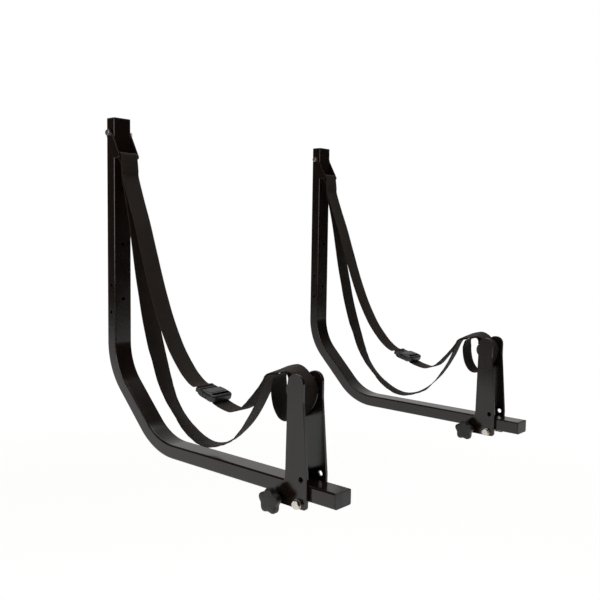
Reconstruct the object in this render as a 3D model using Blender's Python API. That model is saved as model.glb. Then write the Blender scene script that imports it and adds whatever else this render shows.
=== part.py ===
"""Pair of wall racks for a kayak, each a bent steel arm with a webbing sling and a sliding upright.

Frame: metres, +Z up. The wall is the plane y = 0, the arms reach out along -Y, and the origin lies on
the wall midway between the racks, level with the undersides of the arms.
"""

import math

import bmesh
import bpy
from mathutils import Matrix, Vector

MM = 0.001
GAP = 0.3 * MM  # clearance between pieces that touch
CUT_OVER = 3.0 * MM  # how far a cutter passes the wall it cuts

# Pair
RACK_SPACING = 610.0 * MM  # two wall studs, 24 in apart

# Tube: 1.5 x 1 in, bent twice by 45 degrees
TUBE_WIDTH = 38.1 * MM
TUBE_DEPTH = 25.4 * MM
TUBE_WALL = 2.0 * MM
TUBE_CORNER = 3.0 * MM
POST_HEIGHT = 625.0 * MM
ARM_REACH = 575.0 * MM
DIAGONAL_RISE = 142.6 * MM  # where the line of the slanting underside meets the wall
BEND_RADIUS = 117.0 * MM  # on the middle of the tube
BEND_STEPS = 6

# Plastic plugs in the two tube ends
CAP_FLANGE = 2.5 * MM
CAP_PLUG = 14.0 * MM
CAP_FIT = 0.3 * MM

# Holes in the post
SCREW_HOLE = 7.5 * MM
SCREW_LOWEST = 280.0 * MM
SCREW_PITCH = 106.0 * MM
SCREW_COUNT = 3
SIDE_HOLE = 6.0 * MM
SIDE_HOLE_OFFSET = 25.8 * MM  # above and below the lowest screw hole

# Strap hanger: two ears and a round bar, on a bolt through the post
HANGER_BOLT = 6.0 * MM
HANGER_BOLT_DROP = 28.5 * MM  # below the post's top
EAR_THICKNESS = 3.0 * MM
EAR_WIDTH = 15.0 * MM
EAR_CLEARANCE = 1.3 * MM  # from the post's side to the ear
EAR_TOE = 8.7 * MM  # from the bar's axis to the ear's lower outer corner
EAR_HEEL = 13.5 * MM  # from the bar's axis to the ear's lower corner beside the post
EAR_SOLE = 5.4 * MM  # from the bar's axis down to the ear's lower edge
HANGER_BAR = 8.0 * MM
HANGER_BAR_OUT = 26.8 * MM  # from the bolt's axis, away from the wall
HANGER_BAR_DROP = 43.0 * MM

# Upright: two flat plates that straddle the arm
PLATE_THICKNESS = 5.0 * MM
PLATE_CLEARANCE = 1.6 * MM  # from the tube's side to the plate
PLATE_TOP = 196.0 * MM
PLATE_BOTTOM = -12.5 * MM
PLATE_TOP_WIDTH = 31.6 * MM
PLATE_CENTRE = 497.0 * MM  # from the wall to the middle of the plates' tops
PLATE_FOOT_FRONT = 523.0 * MM
PLATE_BACK = 478.2 * MM
PLATE_FOOT_BACK = 451.5 * MM
PLATE_EDGE = 0.7 * MM
SPARE_HOLE = 9.0 * MM
SPARE_HOLE_OUT = 511.0 * MM
SPARE_HOLE_HEIGHT = 34.0 * MM
SADDLE_PIN = 10.0 * MM
SADDLE_PIN_OUT = 486.0 * MM

# Roller that the end of the webbing turns round
ROLLER = 25.4 * MM
ROLLER_OUT = 489.0 * MM
ROLLER_HEIGHT = 169.0 * MM
ROLLER_WALL = 2.6 * MM
ROLLER_AXLE = 8.0 * MM
FLANGE = 32.0 * MM
FLANGE_THICKNESS = 0.7 * MM
BUSHING_LENGTH = 10.0 * MM

# Bolt and clamp screw under the arm
CLAMP_SIZE = 8.0 * MM
CLAMP_DROP = 5.0 * MM  # axis below the arm
GUIDE_BOLT_OUT = 506.0 * MM
CLAMP_OUT = 464.0 * MM
WASHER = 16.0 * MM
WASHER_THICKNESS = 1.6 * MM
HEX_M8 = 13.0 * MM
HEX_M6 = 10.0 * MM

# Five-lobed knob
KNOB_STAND = 25.0 * MM  # from the plate to the knob's face
KNOB_RADIUS = 19.3 * MM
KNOB_LOBE = 2.6 * MM
KNOB_LOBES = 5
KNOB_HEAD = 13.0 * MM
KNOB_HUB = 16.0 * MM

# Side-release buckle, laid along a line that falls away from the wall
BUCKLE_START = Vector((0.0, -260.0 * MM, 139.0 * MM))
BUCKLE_FALL = math.radians(14.0)
BUCKLE_WIDTH = 50.0 * MM
TONGUE_BASE = 16.0 * MM
TONGUE_THICKNESS = 9.0 * MM
TONGUE_BAR = 3.15 * MM
FORK_THICKNESS = 5.0 * MM
FORK_LENGTH = 17.0 * MM
FORK_ARM = 6.0 * MM
FORK_GUIDE = 8.0 * MM
SOCKET_LENGTH = 35.5 * MM
SOCKET_THICKNESS = 13.0 * MM
SOCKET_WALL = 2.6 * MM
SOCKET_CAVITY = 21.5 * MM
WINDOW_START = 8.0 * MM
WINDOW_LENGTH = 9.0 * MM
WEB_SLOT = 4.0 * MM
WEB_BAR = 4.5 * MM

# Webbing
WEB_WIDTH = 38.0 * MM
WEB_THICKNESS = 1.6 * MM
WEB_STEP = 14.0 * MM  # least spacing of points along a strap

# The straps' routes in millimetres out from the wall and up from the arm's underside, chosen by hand
FRONT_TOP_ROUTE = ((119, 335), (102, 380), (85.5, 425), (66.5, 470), (50.2, 512))
FRONT_MIDDLE_ROUTE = ((119, 335), (137, 291), (157.5, 247), (183, 204), (203, 178.5))
TONGUE_END_ROUTE = ((203, 178.5), (218, 163), (238, 148.8))
SLING_TOP_ROUTE = ((47.8, 511), (59.5, 470), (70.5, 425), (79.5, 380), (88.5, 335), (99, 291))
SLING_ROUTE = (
    (99, 291), (110.5, 247), (125, 203), (141, 160), (160, 122), (185, 88), (216, 62), (245, 47.5),
    (275, 42), (303, 47), (335, 64), (363, 89), (381, 112), (393, 130), (403, 148), (410.5, 164),
    (416, 175.4), (423.8, 184), (433, 188.9), (446.6, 195.2), (455, 197.4),
)
BUCKLE_END_ROUTE = (
    (331, 112.6), (343, 111.4), (354, 114), (369, 122.5), (387, 143.5), (403, 163.5), (414, 177),
    (422.3, 186.3), (432, 191), (446, 197.6), (463, 201.6), (475, 199.4), (487, 192), (496.5, 184.5),
    (502.2, 177), (503.7, 169), (503.4, 160), (500.5, 149), (494.5, 138), (487, 129), (479, 121.6),
    (468.5, 117.8), (457, 121.2), (447.8, 132), (443, 143.8), (441, 157), (442.5, 170), (447, 181),
    (455, 187.5), (465, 190.5), (475, 192.3),
)

# What follows from the sizes above
POST_FRONT = -TUBE_DEPTH
TUBE_MIDDLE = TUBE_DEPTH / 2
KNEE = DIAGONAL_RISE + TUBE_MIDDLE * (math.sqrt(2) - 1)
PLATE_INNER = TUBE_WIDTH / 2 + PLATE_CLEARANCE
PLATE_OUTER = PLATE_INNER + PLATE_THICKNESS
EAR_INNER = TUBE_WIDTH / 2 + EAR_CLEARANCE
EAR_OUTER = EAR_INNER + EAR_THICKNESS
HANGER_AXIS = Vector((0, -TUBE_MIDDLE, POST_HEIGHT - HANGER_BOLT_DROP))
HANGER_BAR_AXIS = HANGER_AXIS + Vector((0, -HANGER_BAR_OUT, -HANGER_BAR_DROP))
ROLLER_AXIS = Vector((0, -ROLLER_OUT, ROLLER_HEIGHT))
BUCKLE_ALONG = Vector((0, -math.cos(BUCKLE_FALL), -math.sin(BUCKLE_FALL)))

FINISHES = {
    "powder_coat": ((0.020, 0.020, 0.022), 0.28, 0.0),
    "zinc": ((0.62, 0.61, 0.58), 0.32, 1.0),
    "black_plastic": ((0.030, 0.030, 0.032), 0.45, 0.0),
    "nylon": ((0.020, 0.020, 0.020), 0.40, 0.0),
    "webbing": ((0.024, 0.022, 0.021), 0.90, 0.0),
}


def clear_scene():
    """Removes what the start-up scene holds."""
    for old in list(bpy.data.objects):
        bpy.data.objects.remove(old, do_unlink=True)


def finish_of(name):
    """The named material, made once."""
    found = bpy.data.materials.get(name)
    if found:
        return found
    colour, roughness, metallic = FINISHES[name]
    made = bpy.data.materials.new(name)
    made.use_nodes = True
    shader = made.node_tree.nodes["Principled BSDF"]
    shader.inputs["Base Color"].default_value = (*colour, 1.0)
    shader.inputs["Roughness"].default_value = roughness
    shader.inputs["Metallic"].default_value = metallic
    made.diffuse_color = (*colour, 1.0)
    return made


def object_from(work, name, finish=None, smooth=True):
    """A new object from a bmesh, which is freed."""
    bmesh.ops.recalc_face_normals(work, faces=work.faces)
    mesh = bpy.data.meshes.new(name)
    work.to_mesh(mesh)
    work.free()
    if smooth:
        mesh.shade_smooth()
        mesh.set_sharp_from_angle(angle=math.radians(30))
    made = bpy.data.objects.new(name, mesh)
    bpy.context.scene.collection.objects.link(made)
    if finish:
        mesh.materials.append(finish_of(finish))
    return made


def combine(target, other, operation):
    """Cuts or joins another object, which stays in the scene as a hidden helper."""
    other.hide_render = True
    other.display_type = "WIRE"
    change = target.modifiers.new(other.name, "BOOLEAN")
    change.operation = operation
    change.solver = "EXACT"
    change.object = other
    return target


def cut(target, *cutters):
    """Takes each cutter out of the target."""
    for cutter in cutters:
        combine(target, cutter, "DIFFERENCE")
    return target


def join(target, *others):
    """Unites each of the others with the target."""
    for other in others:
        combine(target, other, "UNION")
    return target


def box(name, low, high, turn=None, finish=None):
    """A box between two corners, turned by a matrix about the origin."""
    low, high = Vector(low), Vector(high)
    work = bmesh.new()
    bmesh.ops.create_cube(work, size=1.0)
    size = Matrix.Diagonal((*(high - low), 1.0))
    bmesh.ops.transform(work, matrix=Matrix.Translation((low + high) / 2) @ size, verts=work.verts)
    if turn:
        bmesh.ops.transform(work, matrix=turn, verts=work.verts)
    return object_from(work, name, finish, smooth=False)


def rod(name, axis, start, end, diameter, steps=16, finish=None):
    """A cylinder along X between two places, about an axis through a point."""
    work = bmesh.new()
    bmesh.ops.create_cone(
        work, cap_ends=True, segments=steps, radius1=diameter / 2, radius2=diameter / 2, depth=end - start
    )
    place = Matrix.Translation((axis.x + (start + end) / 2, axis.y, axis.z))
    bmesh.ops.transform(work, matrix=place @ Matrix.Rotation(math.pi / 2, 4, "Y"), verts=work.verts)
    return object_from(work, name, finish)


def hexagon(angle):
    """How far a hexagon's side lies out at an angle, for a width across flats of 2."""
    sixth = math.pi / 3
    return 1.0 / math.cos(angle % sixth - sixth / 2)


def circle(_angle):
    """The circle's counterpart of hexagon."""
    return 1.0


def turned(name, axis, profile, steps, finish):
    """A body turned about an X axis from rows of place, radius and outline.

    Rows that start and end at radius 0 make a solid one, and others a ring.
    """
    work = bmesh.new()
    rings = []
    for along, radius, outline in profile:
        at = axis + Vector((along, 0, 0))
        if radius == 0:
            rings.append([work.verts.new(at)])
            continue
        ring = []
        for step in range(steps):
            angle = 2 * math.pi * step / steps
            reach = radius * outline(angle)
            ring.append(work.verts.new(at + Vector((0, reach * math.cos(angle), reach * math.sin(angle)))))
        rings.append(ring)
    pairs = list(zip(rings, rings[1:]))
    if len(rings[0]) > 1:
        pairs.append((rings[-1], rings[0]))
    for first, second in pairs:
        for step in range(steps):
            corners = [first[step % len(first)], first[(step + 1) % len(first)]]
            corners += [second[(step + 1) % len(second)], second[step % len(second)]]
            work.faces.new(list(dict.fromkeys(corners)))
    return object_from(work, name, finish)


def rounded(corners, steps=4):
    """A closed outline from rows of across, up and radius, with each corner made an arc."""
    outline = []
    for index, (across, up, radius) in enumerate(corners):
        here = Vector((across, up))
        before = (Vector(corners[index - 1][:2]) - here).normalized()
        after = (Vector(corners[(index + 1) % len(corners)][:2]) - here).normalized()
        if radius == 0:
            outline.append(here)
            continue
        half = before.angle(after) / 2
        centre = here + (before + after).normalized() * radius / math.sin(half)
        first = here + before * radius / math.tan(half) - centre
        last = here + after * radius / math.tan(half) - centre
        swing = first.angle_signed(last)
        for step in range(steps + 1):
            turn = Matrix.Rotation(-swing * step / steps, 2)
            outline.append(centre + turn @ first)
    return outline


def drawn_out(work, corners, along):
    """A face through the corners, drawn out along a vector into a closed body."""
    face = work.faces.new([work.verts.new(corner) for corner in corners])
    grown = bmesh.ops.extrude_face_region(work, geom=[face])
    moved = [item for item in grown["geom"] if isinstance(item, bmesh.types.BMVert)]
    bmesh.ops.translate(work, verts=moved, vec=along)


def break_rims(work, axis, size, segments=1):
    """Bevels the edges that lie square to an axis, given by its number."""
    rims = [e for e in work.edges if abs(e.verts[0].co[axis] - e.verts[1].co[axis]) < 1e-9]
    bmesh.ops.bevel(
        work, geom=rims, offset=size, segments=segments, affect="EDGES", clamp_overlap=True, profile=0.5
    )


def slab(name, outline, start, end, finish, edge):
    """An outline of out and up values, drawn out along X, with its rims broken by a small bevel."""
    work = bmesh.new()
    drawn_out(work, [(start, -point.x, point.y) for point in outline], (end - start, 0, 0))
    break_rims(work, 0, edge)
    return object_from(work, name, finish)


def tube_stations(start_inset=0.0):
    """Points and tangents, as out and up values, down the middle of the tube from top to far end."""
    tangent_length = BEND_RADIUS * math.tan(math.pi / 8)
    down, slant, out = Vector((0, -1)), Vector((1, -1)).normalized(), Vector((1, 0))
    upper, lower = Vector((TUBE_MIDDLE, KNEE)), Vector((KNEE, TUBE_MIDDLE))
    stations = [(Vector((TUBE_MIDDLE, POST_HEIGHT - start_inset)), down)]
    for knee, before in ((upper, down), (lower, slant)):
        start = knee - before * tangent_length
        inward = Vector((-before.y, before.x))
        centre = start + inward * BEND_RADIUS
        for step in range(BEND_STEPS + 1):
            turn = Matrix.Rotation(math.pi / 4 * step / BEND_STEPS, 2)
            stations.append((centre + turn @ (start - centre), turn @ before))
    stations.append((Vector((ARM_REACH - start_inset, TUBE_MIDDLE)), out))
    return stations


def swept_rings(work, section, stations):
    """Rings of vertices: a section of across and outward values set square to each station."""
    rings = []
    for point, along in stations:
        normal = Vector((-along.y, along.x))
        ring = []
        for across, outward in section:
            place = point + normal * outward
            ring.append(work.verts.new((across, -place.x, place.y)))
        rings.append(ring)
    return rings


def skin(work, rings):
    """Faces between each ring and the next."""
    count = len(rings[0])
    for first, second in zip(rings, rings[1:]):
        for step in range(count):
            following = (step + 1) % count
            work.faces.new((first[step], first[following], second[following], second[step]))


def rectangle(width, depth, corner, steps=2):
    """A rounded rectangle's outline about its middle."""
    half_width, half_depth = width / 2, depth / 2
    signs = ((1, 1), (-1, 1), (-1, -1), (1, -1))
    return rounded([(a * half_width, b * half_depth, corner) for a, b in signs], steps)


def make_tube(side):
    """The bent arm: a rectangular steel tube, open at both ends, with its holes."""
    work = bmesh.new()
    stations = tube_stations(CAP_FLANGE + GAP)
    outer = swept_rings(work, rectangle(TUBE_WIDTH, TUBE_DEPTH, TUBE_CORNER), stations)
    inner_size = (TUBE_WIDTH - 2 * TUBE_WALL, TUBE_DEPTH - 2 * TUBE_WALL, TUBE_CORNER - TUBE_WALL)
    inner = swept_rings(work, rectangle(*inner_size), stations)
    skin(work, outer)
    skin(work, inner)
    for end in (0, -1):
        skin(work, [outer[end], inner[end]])
    tube = object_from(work, side + "_arm_tube", "powder_coat")
    for index in range(SCREW_COUNT):
        height = SCREW_LOWEST + index * SCREW_PITCH
        cutter = rod("cut_screw_%d" % index, Vector(), -CUT_OVER, TUBE_DEPTH + CUT_OVER, SCREW_HOLE, 12)
        cutter.data.transform(
            Matrix.Translation((0, 0, height)) @ Matrix.Rotation(-math.pi / 2, 4, "Z")
        )
        cut(tube, cutter)
    through = TUBE_WIDTH / 2 + CUT_OVER
    for offset in (-SIDE_HOLE_OFFSET, SIDE_HOLE_OFFSET):
        axis = Vector((0, -TUBE_MIDDLE, SCREW_LOWEST + offset))
        cut(tube, rod("cut_side", axis, -through, through, SIDE_HOLE, 10))
    cut(tube, rod("cut_hanger", HANGER_AXIS, -through, through, HANGER_BOLT + 2 * GAP, 12))
    return tube


def make_cap(name, place):
    """A plug with a flange, modelled on the post's top and placed by a matrix."""
    work = bmesh.new()
    flange = rectangle(TUBE_WIDTH, TUBE_DEPTH, TUBE_CORNER)
    shrink = 2 * (TUBE_WALL + CAP_FIT)
    plug = rectangle(TUBE_WIDTH - shrink, TUBE_DEPTH - shrink, TUBE_CORNER - TUBE_WALL)
    crown = rectangle(TUBE_WIDTH - CAP_FLANGE, TUBE_DEPTH - CAP_FLANGE, TUBE_CORNER - CAP_FLANGE / 2)
    rows = ((crown, CAP_FLANGE), (flange, CAP_FLANGE * 0.4), (flange, 0), (plug, 0), (plug, -CAP_PLUG))
    rings = []
    for outline, height in rows:
        rings.append([work.verts.new((point.x, point.y, height)) for point in outline])
    skin(work, rings)
    work.faces.new(rings[0])
    work.faces.new(rings[-1])
    bmesh.ops.transform(work, matrix=place, verts=work.verts)
    return object_from(work, name, "black_plastic")


def make_caps(side):
    """The plugs in the post's top and the arm's end."""
    top = Matrix.Translation((0, -TUBE_MIDDLE, POST_HEIGHT - CAP_FLANGE))
    end = Matrix.Translation((0, CAP_FLANGE - ARM_REACH, TUBE_MIDDLE))
    end = end @ Matrix.Rotation(math.pi / 2, 4, "X")
    return [make_cap(side + "_post_cap", top), make_cap(side + "_arm_cap", end)]


def make_hanger(side):
    """Two ears on the post's sides with a welded bar between their lower ends."""
    pieces = []
    lean = (HANGER_BAR_AXIS - HANGER_AXIS).normalized()
    square = Vector((0, -lean.z, lean.y))
    radius = EAR_WIDTH / 2
    top = HANGER_AXIS - lean * radius
    corners = []
    for sign in (-1, 1):
        corner = top + square * radius * sign
        corners.append((-corner.y, corner.z, radius * 0.96))
    out, up = -HANGER_BAR_AXIS.y, HANGER_BAR_AXIS.z - EAR_SOLE
    corners += [(out - EAR_HEEL, up, 4 * MM), (out + EAR_TOE, up, 4.5 * MM)]
    outline = rounded(corners, 4)
    for name, sign in (("ear_near", -1), ("ear_far", 1)):
        low, high = sorted((sign * EAR_INNER, sign * EAR_OUTER))
        ear = slab(name, outline, low, high, "powder_coat", edge=0.4 * MM)
        hole = rod("cut_" + name, HANGER_AXIS, low - CUT_OVER, high + CUT_OVER, HANGER_BOLT + 2 * GAP, 12)
        pieces.append(cut(ear, hole))
    reach = EAR_INNER + EAR_THICKNESS / 2
    bar = rod(side + "_strap_hanger", HANGER_BAR_AXIS, -reach, reach, HANGER_BAR, 14, "powder_coat")
    return join(bar, *pieces)


def hex_bolt_rows(size, flats, head, length):
    """A hex bolt's profile, from the head's outer face at 0 to the shank's end."""
    radius, flat = size / 2, flats / 2
    chamfer = 0.12 * head
    return (
        (0, 0, circle), (0, flat * 0.93, circle), (chamfer, flat, hexagon), (head, flat, hexagon),
        (head, radius, circle), (length - radius / 3, radius, circle), (length, radius * 0.7, circle),
        (length, 0, circle),
    )


def nut_rows(size, flats, height):
    """A hex nut's closed profile, from its seat at 0."""
    bore, flat = size / 2 + GAP, flats / 2
    return (
        (0, bore, circle), (0, flat, hexagon), (height * 0.85, flat, hexagon), (height, flat * 0.9, circle),
        (height, bore, circle),
    )


def make_hanger_fasteners(side):
    """The hanger's bolt, with its head on the near side, and its lock nut."""
    head = 4.0 * MM
    seat = EAR_OUTER + GAP
    nut_height = 5.0 * MM
    length = head + 2 * seat + nut_height + 1.0 * MM
    start = HANGER_AXIS - Vector((seat + head, 0, 0))
    rows = hex_bolt_rows(HANGER_BOLT, HEX_M6, head, length)
    bolt = turned(side + "_hanger_bolt", start, rows, 18, "zinc")
    nut_seat = HANGER_AXIS + Vector((seat, 0, 0))
    nut = turned(side + "_hanger_nut", nut_seat, nut_rows(HANGER_BOLT, HEX_M6, nut_height), 18, "zinc")
    return [bolt, nut]


def plate_outline():
    """One upright plate, seen from the side: a tapering blade with a foot towards the wall."""
    radius = PLATE_TOP_WIDTH / 2
    front, back = PLATE_CENTRE + radius, PLATE_CENTRE - radius
    foot_top = -PLATE_BOTTOM * 0.5
    return rounded(
        [
            (back, PLATE_TOP, radius * 0.92),
            (front, PLATE_TOP, radius * 0.92),
            (front, PLATE_TOP - 2.6 * radius, 60 * MM),
            (PLATE_FOOT_FRONT, 35 * MM, 30 * MM),
            (PLATE_FOOT_FRONT, PLATE_BOTTOM, 6 * MM),
            (PLATE_FOOT_BACK, PLATE_BOTTOM, 5 * MM),
            (PLATE_FOOT_BACK, foot_top, 7 * MM),
            (PLATE_BACK, foot_top + 22 * MM, 14 * MM),
        ],
        4,
    )


def make_plates(side):
    """The two plates of the upright, each with its three holes."""
    made = []
    clamp_height = -CLAMP_DROP
    holes = (
        (SPARE_HOLE_OUT, SPARE_HOLE_HEIGHT, SPARE_HOLE),
        (GUIDE_BOLT_OUT, clamp_height, CLAMP_SIZE + 2 * GAP),
        (CLAMP_OUT, clamp_height, CLAMP_SIZE + 2 * GAP),
    )
    for name, sign in (("near", -1), ("far", 1)):
        low, high = sorted((sign * PLATE_INNER, sign * PLATE_OUTER))
        plate = slab(side + "_upright_plate_" + name, plate_outline(), low, high, "powder_coat", PLATE_EDGE)
        for index, (out, up, size) in enumerate(holes):
            axis = Vector((0, -out, up))
            cut(plate, rod("cut_%s_%d" % (name, index), axis, low - CUT_OVER, high + CUT_OVER, size, 12))
        made.append(plate)
    return made


def make_pins(side):
    """The two bars welded between the plates: the roller's axle, and one that rests on the arm."""
    reach = PLATE_INNER - GAP
    saddle_axis = Vector((0, -SADDLE_PIN_OUT, TUBE_DEPTH + GAP + SADDLE_PIN / 2))
    return [
        rod(side + "_roller_axle", ROLLER_AXIS, -reach, reach, ROLLER_AXLE, 12, "powder_coat"),
        rod(side + "_saddle_pin", saddle_axis, -reach, reach, SADDLE_PIN, 16, "powder_coat"),
    ]


def make_roller(side):
    """The sleeve on the axle and the flanged bushing in each of its ends."""
    half = PLATE_INNER - 2 * GAP - FLANGE_THICKNESS
    sleeve_half = half - GAP
    outer, bore, long = ROLLER / 2, ROLLER / 2 - ROLLER_WALL, 2 * sleeve_half
    rows = ((0, bore, circle), (0, outer, circle), (long, outer, circle), (long, bore, circle))
    sleeve = turned(side + "_roller", ROLLER_AXIS - Vector((sleeve_half, 0, 0)), rows, 24, "black_plastic")
    made = [sleeve]
    for name, sign in (("near", -1), ("far", 1)):
        hub, hole = bore - GAP, ROLLER_AXLE / 2 + GAP
        places = (half - BUSHING_LENGTH, half, half + FLANGE_THICKNESS)
        rows = [
            (places[0], hole), (places[0], hub), (places[1], hub), (places[1], FLANGE / 2),
            (places[2], FLANGE / 2), (places[2], hole),
        ]
        rows = [(sign * along, radius, circle) for along, radius in rows]
        made.append(turned("%s_bushing_%s" % (side, name), ROLLER_AXIS, rows, 24, "nylon"))
    return made


def washer_rows(bore, across, thickness):
    """A flat washer's closed profile."""
    return ((0, bore / 2, circle), (0, across / 2, circle), (thickness, across / 2, circle),
            (thickness, bore / 2, circle))


def make_guide_bolt(side):
    """The bolt under the arm that keeps the plates together, with its washer and nut."""
    axis = Vector((0, -GUIDE_BOLT_OUT, -CLAMP_DROP))
    head, nut_height = 5.3 * MM, 7.5 * MM
    washer_place = PLATE_OUTER + GAP
    bolt_seat = washer_place + WASHER_THICKNESS + GAP
    nut_seat = PLATE_OUTER + GAP
    length = head + bolt_seat + nut_seat + nut_height + 1.5 * MM
    rows = hex_bolt_rows(CLAMP_SIZE, HEX_M8, head, length)
    bolt = turned(side + "_guide_bolt", axis - Vector((bolt_seat + head, 0, 0)), rows, 18, "zinc")
    washer = turned(
        side + "_guide_washer", axis - Vector((washer_place + WASHER_THICKNESS, 0, 0)),
        washer_rows(CLAMP_SIZE + 2 * GAP, WASHER, WASHER_THICKNESS), 18, "zinc",
    )
    nut_axis = axis + Vector((nut_seat, 0, 0))
    nut = turned(side + "_guide_nut", nut_axis, nut_rows(CLAMP_SIZE, HEX_M8, nut_height), 18, "zinc")
    return [bolt, washer, nut]


def lobed(angle):
    """The knob's outline, as a share of its largest radius, with one lobe at the bottom."""
    return 1.0 - KNOB_LOBE / KNOB_RADIUS * (1 - math.cos(KNOB_LOBES * (angle + math.pi / 2)))


def make_clamp(side):
    """The clamp screw: knob, stud, washer and the nut welded to the far plate."""
    axis = Vector((0, -CLAMP_OUT, -CLAMP_DROP))
    face = PLATE_OUTER + KNOB_STAND
    stud_depth = KNOB_STAND - 6.0 * MM
    bore, hub = CLAMP_SIZE / 2 + GAP, KNOB_HUB / 2
    seat = KNOB_STAND - WASHER_THICKNESS - 2 * GAP
    rows = (
        (0, 0, circle), (0, KNOB_RADIUS * 0.55, circle), (1.2 * MM, KNOB_RADIUS * 0.9, lobed),
        (3.0 * MM, KNOB_RADIUS, lobed), (KNOB_HEAD - 2.5 * MM, KNOB_RADIUS, lobed),
        (KNOB_HEAD, KNOB_RADIUS * 0.86, lobed), (KNOB_HEAD, hub * 1.15, circle),
        (KNOB_HEAD + 2.0 * MM, hub, circle), (seat, hub, circle), (seat, bore, circle),
        (KNOB_STAND - stud_depth - GAP, bore, circle), (KNOB_STAND - stud_depth - GAP, 0, circle),
    )
    knob = turned(side + "_clamp_knob", axis - Vector((face, 0, 0)), rows, 30, "black_plastic")
    nut_height = 6.5 * MM
    nut_seat = PLATE_OUTER + GAP
    length = stud_depth + PLATE_OUTER + nut_seat + nut_height + 3.0 * MM
    stud_rows = (
        (0, 0, circle), (0, CLAMP_SIZE / 2, circle), (length - 1.2 * MM, CLAMP_SIZE / 2, circle),
        (length, CLAMP_SIZE / 2 - 1.0 * MM, circle), (length, 0, circle),
    )
    stud_start = axis - Vector((PLATE_OUTER + stud_depth, 0, 0))
    stud = turned(side + "_clamp_stud", stud_start, stud_rows, 16, "zinc")
    washer = turned(
        side + "_clamp_washer", axis - Vector((PLATE_OUTER + GAP + WASHER_THICKNESS, 0, 0)),
        washer_rows(CLAMP_SIZE + 2 * GAP, WASHER, WASHER_THICKNESS), 18, "black_plastic",
    )
    nut_axis = axis + Vector((nut_seat, 0, 0))
    nut = turned(side + "_clamp_nut", nut_axis, nut_rows(CLAMP_SIZE, HEX_M8, nut_height), 18, "zinc")
    return [knob, stud, washer, nut]


def buckle_frame():
    """Places a buckle modelled flat, along +Y from the wall's end, on its sloping line."""
    above = Vector((0, -math.sin(BUCKLE_FALL), math.cos(BUCKLE_FALL)))
    turn = Matrix((Vector((1, 0, 0)), BUCKLE_ALONG, above))
    return Matrix.Translation(BUCKLE_START) @ turn.transposed().to_4x4()


def make_socket(side):
    """The buckle's socket: a shell open to the tongue, with side windows and a bar for the webbing."""
    place = buckle_frame()
    half, thick = BUCKLE_WIDTH / 2, SOCKET_THICKNESS / 2
    start, end = TONGUE_BASE + GAP, TONGUE_BASE + GAP + SOCKET_LENGTH
    work = bmesh.new()
    outline = rounded(
        [(half - 2 * MM, start, 3 * MM), (half, start + 14 * MM, 8 * MM), (half - 1 * MM, end, 6 * MM),
         (1 * MM - half, end, 6 * MM), (-half, start + 14 * MM, 8 * MM), (2 * MM - half, start, 3 * MM)], 3)
    drawn_out(work, [(point.x, point.y, -thick) for point in outline], (0, 0, 2 * thick))
    break_rims(work, 2, 1.8 * MM, 2)
    bmesh.ops.transform(work, matrix=place, verts=work.verts)
    shell = object_from(work, side + "_buckle_socket", "black_plastic")
    inside = thick - SOCKET_WALL
    corner = Vector((half - SOCKET_WALL, start + SOCKET_CAVITY, inside))
    cavity = box("cut_cavity", (-corner.x, start - CUT_OVER, -inside), corner, place)
    low, reach, window_start = inside - 0.5 * MM, half + CUT_OVER, start + WINDOW_START
    window_end = window_start + WINDOW_LENGTH
    window = box("cut_window", (-reach, window_start, -low), (reach, window_end, low), place)
    slot_end, reach = end - WEB_BAR, thick + CUT_OVER
    web_half = WEB_WIDTH / 2 + 1 * MM
    slot = box("cut_slot", (-web_half, slot_end - 2 * WEB_SLOT, -reach), (web_half, slot_end, reach), place)
    return cut(shell, cavity, window, slot)


def make_tongue(side):
    """The buckle's tongue: a base with two webbing slots, a guide and two springy arms with barbs."""
    place = buckle_frame()
    half = BUCKLE_WIDTH / 2 - SOCKET_WALL - 1.0 * MM
    root = TONGUE_BASE - 2 * MM
    tip = TONGUE_BASE + FORK_LENGTH
    barb = BUCKLE_WIDTH / 2 - 0.6 * MM
    barb_start = TONGUE_BASE + WINDOW_START + 2 * GAP
    inner = half - FORK_ARM
    guide = FORK_GUIDE / 2
    right = [
        (half, root), (half, barb_start), (barb, barb_start + 0.6 * MM), (barb, barb_start + 7 * MM),
        (half, tip), (inner, tip), (inner, TONGUE_BASE + 5 * MM), (guide, TONGUE_BASE + 5 * MM),
        (guide, tip + 3 * MM),
    ]
    outline = right + [(-across, along) for across, along in reversed(right)]
    work = bmesh.new()
    low = -FORK_THICKNESS / 2
    drawn_out(work, [(across, along, low) for across, along in outline], (0, 0, FORK_THICKNESS))
    bmesh.ops.transform(work, matrix=place, verts=work.verts)
    fork = object_from(work, side + "_fork", smooth=False)
    work = bmesh.new()
    bmesh.ops.create_cube(work, size=1.0)
    size = Matrix.Diagonal((BUCKLE_WIDTH - 3 * MM, TONGUE_BASE, TONGUE_THICKNESS, 1.0))
    bmesh.ops.transform(work, matrix=Matrix.Translation((0, TONGUE_BASE / 2, 0)) @ size, verts=work.verts)
    bmesh.ops.bevel(work, geom=work.edges[:], offset=1.5 * MM, segments=2, affect="EDGES", profile=0.5)
    bmesh.ops.transform(work, matrix=place, verts=work.verts)
    base = object_from(work, side + "_buckle_tongue", "black_plastic")
    join(base, fork)
    web_half = WEB_WIDTH / 2 + 1 * MM
    for index in range(2):
        start = TONGUE_BAR + index * (WEB_SLOT + 2.6 * MM)
        high = (web_half, start + WEB_SLOT, TONGUE_THICKNESS)
        cut(base, box("cut_web_%d" % index, (-web_half, start, -TONGUE_THICKNESS), high, place))
    return base


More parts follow.
